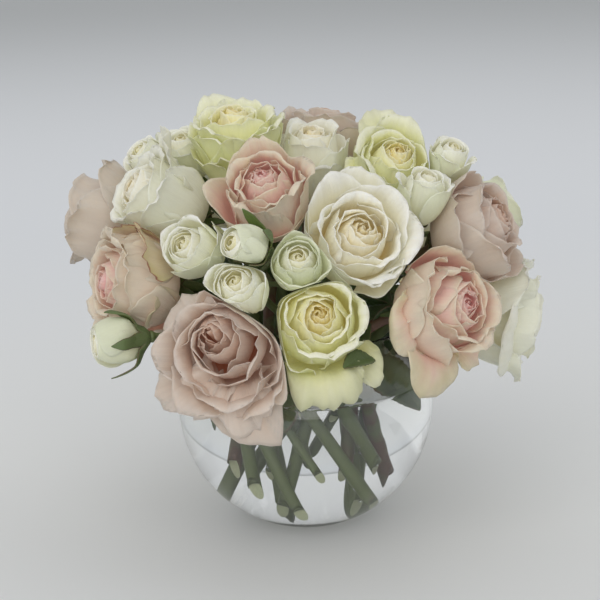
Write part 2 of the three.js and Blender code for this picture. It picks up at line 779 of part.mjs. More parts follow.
// A leaf that springs from a stem: a pointed oval, folded along its midrib and drooping.
function leafSolid(bloom) {
  const [share, azimuth, elevation, roll, length] = bloom.leaf;
  const base = roseNeck(bloom).getPoint(share);
  const [az, el, turn] = [azimuth, elevation, roll].map(radians);
  const ahead = new THREE.Vector3(
    Math.sin(az) * Math.cos(el),
    -Math.cos(az) * Math.cos(el),
    Math.sin(el),
  );
  const level = new THREE.Vector3(0, 0, 1).cross(ahead).normalize();
  const over = ahead.clone().cross(level);
  const side = level.clone().multiplyScalar(Math.cos(turn)).addScaledVector(over, Math.sin(turn));
  const face = ahead.clone().cross(side);
  const surface = (u, v) => {
    const half = LEAF.width * length * Math.sin(Math.PI * (0.06 + 0.89 * Math.abs(v) ** 0.8));
    return base
      .clone()
      .addScaledVector(ahead, length * v)
      .addScaledVector(side, u * half)
      .addScaledVector(face, LEAF.fold * Math.abs(u) * half - LEAF.droop * length * v * v);
  };
  return blade(surface, [-1, 0, 1], [0, 0.35, 0.7, 1], LEAF.thickness);
}

function roseStem(bloom) {
  const { foot } = slotLine(bloom.slot);
  const bare = withSepals(neckRod(roseNeck(bloom), bloom, STEM.rose, [foot]), bloom);
  const whole = bloom.leaf ? bare.add(leafSolid(bloom)) : bare;
  return tidied(whole, FACET_TOLERANCE.green);
}

function sprayStem(group) {
  const { foot, curve } = trunk(group);
  const points = [foot, ...[0, 0.33, 0.67, 1].map((t) => curve.getPoint(t))];
  let body = rod(points, points.map(() => STEM.spray));
  for (const one of group.heads) {
    body = withSepals(body.add(neckRod(branchNeck(group, one), one, STEM.branch)), one);
  }
  return tidied(body, FACET_TOLERANCE.green);
}

// Points on a circle round the bowl's centre, from one height to another, as a turned profile.
function bowlArc(radius, fromZ, toZ) {
  const [from, to] = [fromZ, toZ].map((z) => Math.acos((BOWL_CENTRE - z) / radius));
  return Array.from({ length: BOWL.arcSteps + 1 }, (_, i) => {
    const a = from + ((to - from) * i) / BOWL.arcSteps;
    return new THREE.Vector2(radius * Math.sin(a), BOWL_CENTRE - radius * Math.cos(a));
  });
}

// A profile turned about the bowl's axis. It starts and ends on the axis.
function turnedSolid(profile) {
  const geometry = new THREE.LatheGeometry(profile, BOWL.segments);
  geometry.rotateX(Math.PI / 2);
  return solid(geometry);
}

const bowlInside = bowlArc(BOWL.radius - BOWL.wall, BOWL.rim - 0.8, BOWL.floor);

// The bowl: a sphere with a flat base and an open mouth, its rim drawn to a rounded edge.
function bowlSolid() {
  const outside = bowlArc(BOWL.radius, 0, BOWL.rim - 0.8);
  const rim = new THREE.Vector2((outside.at(-1).x + bowlInside[0].x) / 2, BOWL.rim);
  const [bottom, floor] = [0, BOWL.floor].map((z) => new THREE.Vector2(0, z));
  return turnedSolid([bottom, ...outside, rim, ...bowlInside, floor]);
}

// A straight hole in the water round the lower part of a stem.
function stemHole(slot, radius) {
  const { foot, slot: top } = slotLine(slot);
  const below = foot.clone().sub(top).setLength(CLEARANCE).add(foot);
  const wide = (radius + CLEARANCE) / Math.cos(Math.PI / STEM.sides);
  return rod([below, top], [wide, wide]);
}

// The water: the room inside the bowl less a film of clearance, level at the top.
function waterSolid() {
  const shrink = 1 - CLEARANCE / ((BOWL.radius - BOWL.wall) * Math.cos(Math.PI / BOWL.segments));
  const side = bowlInside
    .map((p) => new THREE.Vector2(p.x * shrink, BOWL_CENTRE + (p.y - BOWL_CENTRE) * shrink))
    .reverse();
  const [floor, top] = [side[0].y, side.at(-1).y].map((z) => new THREE.Vector2(0, z));
  const full = turnedSolid([floor, ...side, top]).trimByPlane([0, 0, -1], -WATER_LEVEL);
  const holes = [
    ...roses.map((one) => stemHole(one.slot, STEM.rose)),
    ...sprays.map((one) => stemHole(one.slot, STEM.spray)),
  ];
  const drilled = holes.reduce((body, hole) => body.subtract(hole), full);
  return tidied(drilled, FACET_TOLERANCE.water);
}

function meshOf(name, body, colour, finish = {}) {
  const { vertProperties, triVerts, numProp } = body.getMesh();
  const positions = new Float32Array((vertProperties.length / numProp) * 3);
  for (let i = 0; i < positions.length / 3; i += 1) {
    positions.set(vertProperties.subarray(i * numProp, i * numProp + 3), i * 3);
  }
  const geometry = new THREE.BufferGeometry();
  geometry.setAttribute("position", new THREE.BufferAttribute(positions, 3));
  geometry.setIndex(new THREE.BufferAttribute(triVerts, 1));
  geometry.computeVertexNormals();
  const look = { color: COLOURS[colour], roughness: 0.6, metalness: 0, ...finish };
  const mesh = new THREE.Mesh(geometry, new THREE.MeshStandardMaterial(look));
  mesh.name = name;
  return mesh;
}

const clear = (opacity) => ({ roughness: 0.05, transparent: true, opacity });
const centrepiece = new THREE.Group();
centrepiece.name = "rose_centrepiece";
centrepiece.add(meshOf("bowl", bowlSolid(), "glass", clear(0.35)));
centrepiece.add(meshOf("water", waterSolid(), "water", clear(0.5)));
for (const one of roses) {
  centrepiece.add(meshOf(`bloom_${one.name}`, bloomSolid(one), one.colour));
  centrepiece.add(meshOf(`stem_${one.name}`, roseStem(one), "green"));
}
for (const group of sprays) {
  for (const one of group.heads) {
    centrepiece.add(meshOf(`spray_bloom_${one.name}`, bloomSolid(one), one.colour));
  }
  centrepiece.add(meshOf(`spray_stem_${group.name}`, sprayStem(group), "green"));
}

export default centrepiece;
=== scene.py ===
"""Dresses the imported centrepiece: roses and spray roses in a round glass bowl of water.

Shapes are worked out in millimetres as whole numpy arrays and become meshes in metres. Angles are
in degrees, and an azimuth is measured from the front (-Y) towards +X. A bloom's own frame has its
seat on the stem at the origin and its axis along +Z.
"""

from __future__ import annotations

import logging
import math
from collections.abc import Sequence
from dataclasses import dataclass, field
from enum import Enum
from functools import cached_property

import bpy
import numpy as np
from mathutils import Matrix

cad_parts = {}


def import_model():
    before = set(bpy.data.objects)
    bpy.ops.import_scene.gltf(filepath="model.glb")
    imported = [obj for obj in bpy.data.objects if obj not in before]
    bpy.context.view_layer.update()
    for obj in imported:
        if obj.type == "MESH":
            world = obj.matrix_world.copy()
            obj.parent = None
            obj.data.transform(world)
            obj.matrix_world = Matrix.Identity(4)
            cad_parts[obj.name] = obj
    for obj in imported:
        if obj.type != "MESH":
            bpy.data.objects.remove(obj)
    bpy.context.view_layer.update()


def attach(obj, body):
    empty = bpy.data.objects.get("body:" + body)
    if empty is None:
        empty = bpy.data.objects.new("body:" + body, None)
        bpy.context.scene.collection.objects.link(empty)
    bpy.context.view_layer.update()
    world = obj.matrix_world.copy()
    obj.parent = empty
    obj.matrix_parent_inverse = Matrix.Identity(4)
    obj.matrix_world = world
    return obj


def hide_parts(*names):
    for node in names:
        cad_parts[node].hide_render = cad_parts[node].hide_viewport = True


log = logging.getLogger("centrepiece")

Colour = tuple[float, float, float]
Pair = tuple[float, float]
Point = tuple[float, float, float]
Curve = tuple[np.ndarray, np.ndarray, np.ndarray, np.ndarray]

MM = 0.001
GOLDEN_ANGLE = 137.508
UPWARD = (0.0, 0.0, 1.0)
# Places from the heart (0) to the outside (1) of a bloom that the lists of an Unfolding are for
STAGES = (0.0, 0.3, 0.55, 0.8, 1.0)
# The share of the way up a petal where its lip begins, and the most it spans to each side
LIP = 0.74
WIDEST = math.radians(112)
PETAL_SEED, SPRAY_SEED, BUBBLE_SEED = 500, 40, 71


class Variety(Enum):
    """The kinds of rose, each with the record's slot that its petals take their finish from."""

    DUSTY = "dusty_petals"
    CREAM = "cream_petals"
    BLUSH = "blush_petals"
    LEMON = "lemon_petals"
    IVORY = "ivory_petals"


class Form(Enum):
    """How far a bloom has opened."""

    OPEN = "open"
    CUP = "cup"
    SPRAY = "spray"
    BUD = "bud"


class Course(Enum):
    """The rings in which stems stand in the mouth of the bowl."""

    OUTER = "outer"
    MIDDLE = "middle"
    INNER = "inner"


Slot = tuple[Course, int]


def along(values: Sequence[float], t: float) -> float:
    """A list's value at t, from 0 (innermost) to 1 (outermost)."""
    return float(np.interp(t, STAGES, values))


@dataclass(frozen=True)
class Unfolding:
    """How the petals of a form open: each list runs from the innermost petal to the outermost.

    Attributes:
        rings: Each ring's number of petals, with its first and last one's place from the heart.
        rho1: The first guide point of a petal's meridian, over the bloom's radius.
        z1: The same over its height.
        rho2: The second guide point.
        z2: Its height.
        rho3: The start of the lip.
        z3: Its height.
        lip: The lip's length over the height.
        tip: The angle that the lip ends at.
        half: The petal's half width over the radius.
    """

    rings: tuple[tuple[int, float, float], ...]
    rho1: tuple[float, ...]
    z1: tuple[float, ...]
    rho2: tuple[float, ...]
    z2: tuple[float, ...]
    rho3: tuple[float, ...]
    z3: tuple[float, ...]
    lip: tuple[float, ...]
    tip: tuple[float, ...]
    half: tuple[float, ...]

    def guides(self, t: float, size: Pair, spread: float = 1.0, lift: float = 1.0
               ) -> tuple[Pair, Pair, Pair, Pair]:
        """The root, the two guide points and the start of the lip of one petal.

        Args:
            t: Its place from the heart.
            size: The bloom's radius and height.
            spread: How much wider than usual it stands.
            lift: How much higher.

        Returns:
            Radius and height of each point.
        """
        r, h = size
        return (
            (0.08 * r, 0.06 * h),
            (along(self.rho1, t) * r * spread, along(self.z1, t) * h),
            (along(self.rho2, t) * r * spread, along(self.z2, t) * h * lift),
            (along(self.rho3, t) * r * spread, along(self.z3, t) * h * lift),
        )


# For each form, its rings and then its lists in the order of the fields
UNFOLDINGS = {
    Form.OPEN: Unfolding(
        ((6, 1.0, 0.86), (5, 0.78, 0.64), (4, 0.56, 0.45), (5, 0.38, 0.28), (6, 0.24, 0.0)),
        (0.1, 0.28, 0.42, 0.52, 0.55), (0.08, 0.04, 0.02, 0.0, -0.02),
        (0.11, 0.28, 0.41, 0.5, 0.56), (0.64, 0.61, 0.54, 0.42, 0.22),
        (0.02, 0.14, 0.34, 0.56, 0.74), (0.94, 0.92, 0.83, 0.65, 0.42),
        (0.06, 0.09, 0.16, 0.36, 0.48), (165, 115, 36, -16, -42),
        (0.3, 0.54, 0.7, 0.78, 0.8),
    ),
    Form.CUP: Unfolding(
        ((5, 1.0, 0.88), (4, 0.78, 0.66), (4, 0.55, 0.44), (5, 0.38, 0.28), (6, 0.24, 0.0)),
        (0.1, 0.3, 0.48, 0.6, 0.66), (0.08, 0.05, 0.03, 0.01, -0.01),
        (0.12, 0.3, 0.46, 0.57, 0.66), (0.72, 0.68, 0.62, 0.5, 0.32),
        (0.02, 0.14, 0.31, 0.54, 0.74), (0.96, 0.95, 0.9, 0.74, 0.54),
        (0.06, 0.08, 0.12, 0.3, 0.42), (165, 124, 70, -16, -50),
        (0.32, 0.58, 0.76, 0.84, 0.82),
    ),
    Form.SPRAY: Unfolding(
        ((4, 1.0, 0.88), (4, 0.7, 0.58), (4, 0.48, 0.36), (6, 0.3, 0.0)),
        (0.14, 0.38, 0.56, 0.7, 0.78), (0.08, 0.05, 0.03, 0.01, 0.0),
        (0.15, 0.4, 0.58, 0.72, 0.84), (0.72, 0.7, 0.64, 0.54, 0.4),
        (0.03, 0.2, 0.42, 0.64, 0.82), (0.94, 0.94, 0.9, 0.8, 0.64),
        (0.06, 0.08, 0.12, 0.18, 0.28), (160, 120, 70, 0, -48),
        (0.4, 0.72, 0.92, 0.96, 0.92),
    ),
    Form.BUD: Unfolding(
        ((4, 1.0, 0.85), (3, 0.6, 0.45), (3, 0.3, 0.0)),
        (0.4, 0.66, 0.84, 0.98, 1.05), (0.1, 0.07, 0.05, 0.03, 0.02),
        (0.4, 0.66, 0.82, 0.94, 1.02), (0.8, 0.76, 0.72, 0.66, 0.6),
        (0.12, 0.3, 0.44, 0.56, 0.7), (0.97, 0.96, 0.95, 0.92, 0.88),
        (0.03, 0.04, 0.05, 0.07, 0.1), (95, 92, 85, 60, 10),
        (0.6, 1.0, 1.2, 1.3, 1.3),
    ),
}


def smooth(x: np.ndarray | float) -> np.ndarray:
    """Eases from 0 to 1 as x goes from 0 to 1: three squares less two cubes of x."""
    c = np.clip(x, 0.0, 1.0)
    return c * c * (3 - 2 * c)


def unit(v: np.ndarray) -> np.ndarray:
    """Vectors over their own lengths, along the last axis."""
    return v / np.maximum(np.linalg.norm(v, axis=-1, keepdims=True), 1e-9)


def towards(azimuth: float, elevation: float) -> np.ndarray:
    """The unit direction with that azimuth and elevation."""
    az, el = math.radians(azimuth), math.radians(elevation)
    return np.array([math.sin(az) * math.cos(el), -math.cos(az) * math.cos(el), math.sin(el)])


def run_of(path: np.ndarray) -> np.ndarray:
    """The distance along a path at each of its points: the steps' lengths, summed."""
    return np.concatenate([[0], np.cumsum(np.linalg.norm(np.diff(path, axis=0), axis=1))])


def circle(count: int) -> np.ndarray:
    """Angles of so many even steps round a circle, from 0."""
    return np.arange(count) * 2 * math.pi / count


def normals_of(grid: np.ndarray) -> np.ndarray:
    """Unit normals of a grid of points: the cross product of its steps across and along.

    Args:
        grid: Points, as rows by columns by 3.

    Returns:
        An array of the same shape.
    """
    up, across = np.gradient(grid, axis=0), np.gradient(grid, axis=1)
    return unit(np.cross(across, up))


@dataclass
class Skin:
    """A closed surface in millimetres, with values at its points that its finish reads.

    Attributes:
        points: Points by 3.
        faces: Blocks of faces, each an array with as many point numbers in all its rows.
        values: Each attribute's name and its number at every point.
    """

    points: np.ndarray
    faces: list[np.ndarray]
    values: dict[str, np.ndarray] = field(default_factory=dict)

    def painted(self, **values: float | np.ndarray) -> Skin:
        """Adds values.

        Args:
            values: By name, one number for all points or an array.

        Returns:
            The skin itself.
        """
        for name, value in values.items():
            self.values[name] = np.broadcast_to(np.asarray(value, float).ravel(), len(self.points))
        return self


def wall_faces(rows: int, columns: int, first: int = 0, closed: bool = False) -> np.ndarray:
    """Four-cornered faces of a grid of points.

    Args:
        rows: The grid's rows.
        columns: The points in a row.
        first: The number of the grid's first point.
        closed: Whether each row closes on itself.

    Returns:
        Faces by 4.
    """
    j, i = np.meshgrid(
        np.arange(rows - 1), np.arange(columns if closed else columns - 1), indexing="ij"
    )
    a = first + j * columns + i
    b = first + j * columns + (i + 1) % columns
    return np.stack([a, b, b + columns, a + columns], -1).reshape(-1, 4)


def blade(grid: np.ndarray, thickness: np.ndarray | float, u: np.ndarray, v: np.ndarray) -> Skin:
    """A closed blade round a grid: each point goes half the thickness to both sides.

    Args:
        grid: The middle surface, as rows by columns by 3.
        thickness: One number, or one for each point of the grid.
        u: The way across at each point of the grid, painted on as across.
        v: The way up, painted on as height.

    Returns:
        The skin, with back at 0 on the side that the grid's normals point to and 1 on the other.
    """
    rows, columns = grid.shape[:2]
    offset = normals_of(grid) * (np.broadcast_to(thickness, (rows, columns))[..., None] / 2)
    points = np.concatenate([(grid + offset).reshape(-1, 3), (grid - offset).reshape(-1, 3)])
    n = rows * columns
    front = wall_faces(rows, columns)
    edge = np.concatenate([
        np.arange(columns),
        np.arange(1, rows) * columns + columns - 1,
        (rows - 1) * columns + np.arange(columns - 2, -1, -1),
        np.arange(rows - 2, 0, -1) * columns,
    ])
    after = np.roll(edge, -1)
    rim = np.stack([after, edge, edge + n, after + n], -1)
    return Skin(points, [front, front[:, ::-1] + n, rim]).painted(
        back=np.repeat([0.0, 1.0], n), across=np.tile(u.ravel(), 2), height=np.tile(v.ravel(), 2)
    )


def turned(profile: np.ndarray, turns: int) -> Skin:
    """A profile turned about the Z axis, closed at both of its ends, which lie on the axis.

    Args:
        profile: Radius and height of each point, from the underside outwards and up.
        turns: How many columns go round.

    Returns:
        The closed skin.
    """
    angle = circle(turns)
    rho, z = profile[1:-1, 0], profile[1:-1, 1]
    ring = np.stack([
        rho[:, None] * np.cos(angle), rho[:, None] * np.sin(angle),
        np.repeat(z[:, None], turns, 1),
    ], -1).reshape(-1, 3)
    ends = np.array([[0, 0, profile[0, 1]], [0, 0, profile[-1, 1]]])
    n = len(ring)
    i = np.arange(turns)
    low = np.stack([np.full(turns, n), (i + 1) % turns, i], -1)
    last = n - turns
    high = np.stack([np.full(turns, n + 1), last + i, last + (i + 1) % turns], -1)
    points = np.concatenate([ring, ends])
    return Skin(points, [wall_faces(len(rho), turns, closed=True), low, high])


def tube(path: np.ndarray, radii: np.ndarray, sides: int, slant: float,
         facing: Sequence[float]) -> Skin:
    """A closed tube along a path, its section carried along without twisting.

    A point is the path's, plus the radius times a cosine and a sine along two directions across.
    The foot's ring slides along the path by the cosine, which slants its cut.

    Args:
        path: Points of the middle line, from the foot up.
        radii: The radius at each point.
        sides: Columns round the tube.
        slant: How far the foot's cut runs up one side, over the radius.
        facing: The direction of that side.

    Returns:
        The skin, with cut at 1 on the foot's cut face and grain along the length in millimetres.
    """
    tangent = unit(np.gradient(path, axis=0))
    across = np.zeros_like(path)
    seed = np.array(facing, float)
    for i, direction in enumerate(tangent):
        seed = unit(seed - direction * (seed @ direction))
        across[i] = seed
    other = np.cross(tangent, across)
    angle = circle(sides)
    rings = (
        path[:, None]
        + radii[:, None, None] * (across[:, None] * np.cos(angle)[None, :, None]
                                  + other[:, None] * np.sin(angle)[None, :, None])
    )
    rings[0] += tangent[0] * (slant * radii[0] * (np.cos(angle) + 0.5))[:, None]
    run = run_of(path)
    n = rings.shape[0] * sides
    face = rings[0] * 0.97 + rings[0].mean(0) * 0.03
    points = np.concatenate([rings.reshape(-1, 3), face, [face.mean(0), path[-1]]])
    i = np.arange(sides)
    j = (i + 1) % sides
    last = n - sides
    faces = [
        wall_faces(rings.shape[0], sides, closed=True),
        np.stack([j, i, n + i, n + j], -1),
        np.stack([n + j, n + i, np.full(sides, n + sides)], -1),
        np.stack([last + i, last + j, np.full(sides, n + sides + 1)], -1),
    ]
    cut = np.zeros(len(points))
    cut[n:n + sides + 1] = 1
    grain = np.concatenate([np.repeat(run, sides), np.zeros(sides + 1), run[-1:]])
    return Skin(points, faces).painted(cut=cut, grain=grain)


def bezier(points: Sequence[np.ndarray], t: np.ndarray) -> np.ndarray:
    """Points of a cubic Bezier curve.

    Args:
        points: Its start, its two guide points and its end.
        t: Shares of the way along it.

    Returns:
        Points by 2 or 3.
    """
    a, b, c, d = points
    s = np.asarray(t, float)[:, None]
    return (1 - s) ** 3 * a + 3 * s * (1 - s) ** 2 * b + 3 * s * s * (1 - s) * c + s**3 * d


def mesh_object(name: str, skins: Sequence[Skin], material: bpy.types.Material) -> bpy.types.Object:
    """Joins skins into one smooth object at the origin, in metres.

    Args:
        name: The object's name.
        skins: Closed skins. A value that a skin lacks is 0 there.
        material: The finish of all of them.

    Returns:
        The object, linked to the scene.
    """
    faces: list[list[int]] = []
    start = 0
    for skin in skins:
        for block in skin.faces:
            faces += (block + start).tolist()
        start += len(skin.points)
    mesh = bpy.data.meshes.new(name)
    mesh.from_pydata((np.concatenate([s.points for s in skins]) * MM).tolist(), [], faces)
    for value in sorted({key for skin in skins for key in skin.values}):
        parts = [s.values.get(value, np.zeros(len(s.points))) for s in skins]
        painted = mesh.attributes.new(value, "FLOAT", "POINT")
        painted.data.foreach_set("value", np.concatenate(parts))
    mesh.polygons.foreach_set("use_smooth", np.ones(len(mesh.polygons), bool))
    mesh.materials.append(material)
    mesh.update()
    piece = bpy.data.objects.new(name, mesh)
    bpy.context.scene.collection.objects.link(piece)
    return piece


def place(piece: bpy.types.Object, slot: str, *nodes: str) -> None:
    """Lets a finished piece ride on the part.

    Args:
        piece: The piece.
        slot: The name of a record's slot for its finish; not used.
        nodes: The nodes that it stands for.
    """
    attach(piece, "root")
    if nodes:
        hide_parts(*nodes)
    log.info("%s: %d faces", piece.name, len(piece.data.polygons))


# ---------------------------------------------------------------- finishes


class Wire:
    """A number that leaves a node, for shader maths written as Python expressions."""

    def __init__(self, bench: Bench, socket: bpy.types.NodeSocket) -> None:
        """Keeps the bench that the node stands on and its socket."""
        self.bench = bench
        self.socket = socket

    def _maths(self, operation: str, *values: Wire | float) -> Wire:
        """A Math node of that operation on the values."""
        node = self.bench.node(
            "ShaderNodeMath", {"operation": operation}, dict(enumerate(values))
        )
        return Wire(self.bench, node.outputs[0])

    def __add__(self, other: Wire | float) -> Wire:
        """Sum."""
        return self._maths("ADD", self, other)

    __radd__ = __add__

    def __sub__(self, other: Wire | float) -> Wire:
        """Difference."""
        return self._maths("SUBTRACT", self, other)

    def __rsub__(self, other: float) -> Wire:
        """A number less this one."""
        return self._maths("SUBTRACT", other, self)

    def __mul__(self, other: Wire | float) -> Wire:
        """Product."""
        return self._maths("MULTIPLY", self, other)

    __rmul__ = __mul__

    def __pow__(self, other: float) -> Wire:
        """Power."""
        return self._maths("POWER", self, other)

    def __abs__(self) -> Wire:
        """Size without sign."""
        return self._maths("ABSOLUTE", self)

    def wave(self) -> Wire:
        """Sine."""
        return self._maths("SINE", self)

    def eased(self, low: float, high: float) -> Wire:
        """A smooth step, or the reverse where low is above high.

        Args:
            low: Where it leaves 0.
            high: Where it reaches 1.

        Returns:
            The step.
        """
        if low > high:
            return 1 - self.eased(high, low)
        node = self.bench.node(
            "ShaderNodeMapRange",
            {"interpolation_type": "SMOOTHSTEP"},
            {"Value": self, "From Min": low, "From Max": high},
        )
        return Wire(self.bench, node.outputs[0])


class Bench:
    """Builds one material's nodes."""

    def __init__(self, name: str) -> None:
        """Starts an empty material.

        Args:
            name: Its name.
        """
        self.material = bpy.data.materials.new(name)
        self.material.use_nodes = True
        self.nodes = self.material.node_tree.nodes
        self.links = self.material.node_tree.links
        self.nodes.clear()

    def node(
        self, kind: str, settings: dict[str, object] | None = None,
        inputs: dict[str | int, object] | None = None,
    ) -> bpy.types.Node:
        """Adds a node.

        Args:
            kind: The node's type.
            settings: Properties, which are set before the sockets.
            inputs: Values, wires or sockets by the name or number of their input.

        Returns:
            The node.
        """
        node = self.nodes.new(kind)
        for key, value in (settings or {}).items():
            setattr(node, key, value)
        for key, value in (inputs or {}).items():
            socket = node.inputs[key]
            if isinstance(value, Wire):
                self.links.new(value.socket, socket)
            elif isinstance(value, bpy.types.NodeSocket):
                self.links.new(value, socket)
            elif isinstance(value, tuple) and len(value) == 3 and socket.type == "RGBA":
                socket.default_value = (*value, 1.0)
            else:
                socket.default_value = value
        return node

    def values(self, *names: str) -> list[Wire]:
        """The numbers that the mesh holds under those names."""
        nodes = [self.node("ShaderNodeAttribute", {"attribute_name": name}) for name in names]
        return [Wire(self, node.outputs["Fac"]) for node in nodes]

    def where(self) -> bpy.types.NodeSocket:
        """Object coordinates."""
        return self.node("ShaderNodeTexCoord").outputs["Object"]

    def vector(self, x: Wire | float, y: Wire | float, z: Wire | float) -> bpy.types.NodeSocket:
        """Three numbers as a vector."""
        return self.node("ShaderNodeCombineXYZ", {}, {0: x, 1: y, 2: z}).outputs[0]

    def noise(
        self, vector: bpy.types.NodeSocket, scale: float, detail: float = 2.0, rough: float = 0.5
    ) -> Wire:
        """Noise from 0 to 1 about 0.5 at a vector."""
        node = self.node(
            "ShaderNodeTexNoise", {},
            {"Vector": vector, "Scale": scale, "Detail": detail, "Roughness": rough},
        )
        return Wire(self, node.outputs[0])

    def mix(self, share: Wire | float, a: Wire | Colour, b: Wire | Colour) -> Wire:
        """A colour that goes from a to b as share goes from 0 to 1."""
        node = self.node("ShaderNodeMix", {"data_type": "RGBA"}, {0: share, 6: a, 7: b})
        return Wire(self, node.outputs[2])

    def shade(self, colour: Wire, factor: Wire) -> Wire:
        """A colour multiplied by a number."""
        node = self.node(
            "ShaderNodeMix", {"data_type": "RGBA", "blend_type": "MULTIPLY"},
            {0: 1.0, 6: colour, 7: factor},
        )
        return Wire(self, node.outputs[2])

    def bump(self, height: Wire, strength: float, distance: float) -> bpy.types.NodeSocket:
        """A normal bent by a height, with the distance in millimetres."""
        return self.node(
            "ShaderNodeBump", {},
            {"Height": height, "Strength": strength, "Distance": distance * MM},
        ).outputs[0]

    def principled(self, **inputs: object) -> bpy.types.NodeSocket:
        """A Principled shader. Underscores in a name stand for spaces."""
        named = {key.replace("_", " "): value for key, value in inputs.items()}
        return self.node("ShaderNodeBsdfPrincipled", {}, named).outputs[0]

    def output(self, shader: bpy.types.NodeSocket) -> bpy.types.Material:
        """Ends the material with a shader, and gives it back."""
        self.node("ShaderNodeOutputMaterial", {}, {"Surface": shader})
        return self.material


@dataclass(frozen=True)
class PetalFinish:
    """Velvety petals: colours by how deep in the bloom and how far up the petal a point lies, with
    painted shade towards the petals' feet and a painted glow.

    Attributes:
        name: The material's name.
        heart: The colour of the innermost petals.
        body: The colour of the face of a petal.
        edge: The colour of its rim.
        foot: The colour near its foot, partly the petal's own deeper base and partly painted shade
            deep in the folds.
        outer: The colour that the outermost petals take on their backs.
        guard: The colour in the patches of the outside petals, which are a little faded.
        flush: How much the rim colour shows, from 0 to 1.
        glow: The subsurface radii of red, green and blue.
        band: Where the rim colour starts on the way up the petal.
        lit: The strength of a painted glow, an emission that stands in for the light that thin
            petals pass on to each other.
        scorch: The dry rim of the most aged petals.
    """

    name: str
    heart: Colour
    body: Colour
    edge: Colour
    foot: Colour
    outer: Colour
    guard: Colour
    flush: float
    glow: Colour
    band: float = 0.74
    lit: float = 0.055
    scorch: Colour = (0.3, 0.13, 0.09)

    def material(self) -> bpy.types.Material:
        """Makes the material. It reads across, height, layer, seed, back, guard and fade.

        Returns:
            The material.
        """
        bench = Bench(self.name)
        across, height, layer, seed, back, guard, fade = bench.values(
            "across", "height", "layer", "seed", "back", "guard", "fade"
        )
        fan = bench.vector(across * 9, height * 1.1, seed * 31)
        # Streaks run up a petal, patches are some 15 mm wide and mottle about a millimetre
        streak = bench.noise(fan, 1.0, 3.0, 0.6)
        patch = bench.noise(bench.where(), 60.0)
        mottle = bench.noise(bench.where(), 900.0)
        face = bench.mix(
            (layer + (patch - 0.5) * 0.3).eased(0.05, 0.6), self.heart, self.body
        )
        rim = (height + abs(across) ** 3 * 0.12 + (streak - 0.5) * 0.24).eased(self.band, 1.04)
        tinted = bench.mix(
            rim * self.flush * (0.3 + 0.7 * layer.eased(0.15, 0.65)), face, self.edge
        )
        # Painted shade: low on the petals, most in the heart, the foot colour mixes in, partly the
        # petals' own deeper base and partly painted shade of the folds
        lowest = height + layer.eased(0.55, 0.95) * 0.4 + (streak - 0.5) * 0.2
        deep = bench.mix(lowest.eased(0.12, 0.72), self.foot, tinted)
        faded = bench.mix(fade * layer.eased(0.2, 0.7) * (0.5 + 0.4 * streak), deep, self.outer)
        outside = bench.mix(
            back * layer.eased(0.45, 0.9) * (0.7 + 0.3 * streak), faded, self.outer
        )
        age = (guard + (patch - 0.5) * 0.7).eased(0.25, 0.85)
        spoiled = bench.mix(age * (0.5 + 0.5 * rim), outside, self.guard)
        # Only the most aged petals have a dry rim
        aged = bench.mix(
            (height + (streak - 0.5) * 0.1).eased(0.9, 0.97) * guard.eased(0.75, 0.95),
            spoiled, self.scorch,
        )
        tone = (1 + (seed - 0.5) * 0.07 + (streak - 0.5) * 0.16) + (mottle - 0.5) * 0.05
        vein = abs(bench.noise(bench.vector(across * 16, height * 1.6, seed * 31), 1.0) - 0.5)
        relief = vein.eased(0.0, 0.09) * 0.5 + streak * 0.5 + mottle * 0.12
        colour = bench.shade(aged, tone)
        return bench.output(bench.principled(
            Base_Color=colour,
            # Painted glow: the petals emit their own colour, warming towards the foot colour low
            # down, in place of light passed between them
            Emission_Color=bench.mix(height.eased(0.95, 0.5) * 0.5, colour, self.foot),
            Emission_Strength=self.lit,
            Roughness=0.52 + 0.16 * streak,
            Subsurface_Weight=0.35,
            Subsurface_Radius=self.glow,
            Subsurface_Scale=0.002,
            Specular_IOR_Level=0.3,
            Sheen_Weight=0.12,
            Sheen_Roughness=0.4,
            Normal=bench.bump(relief, 0.3, 0.35),
        ))


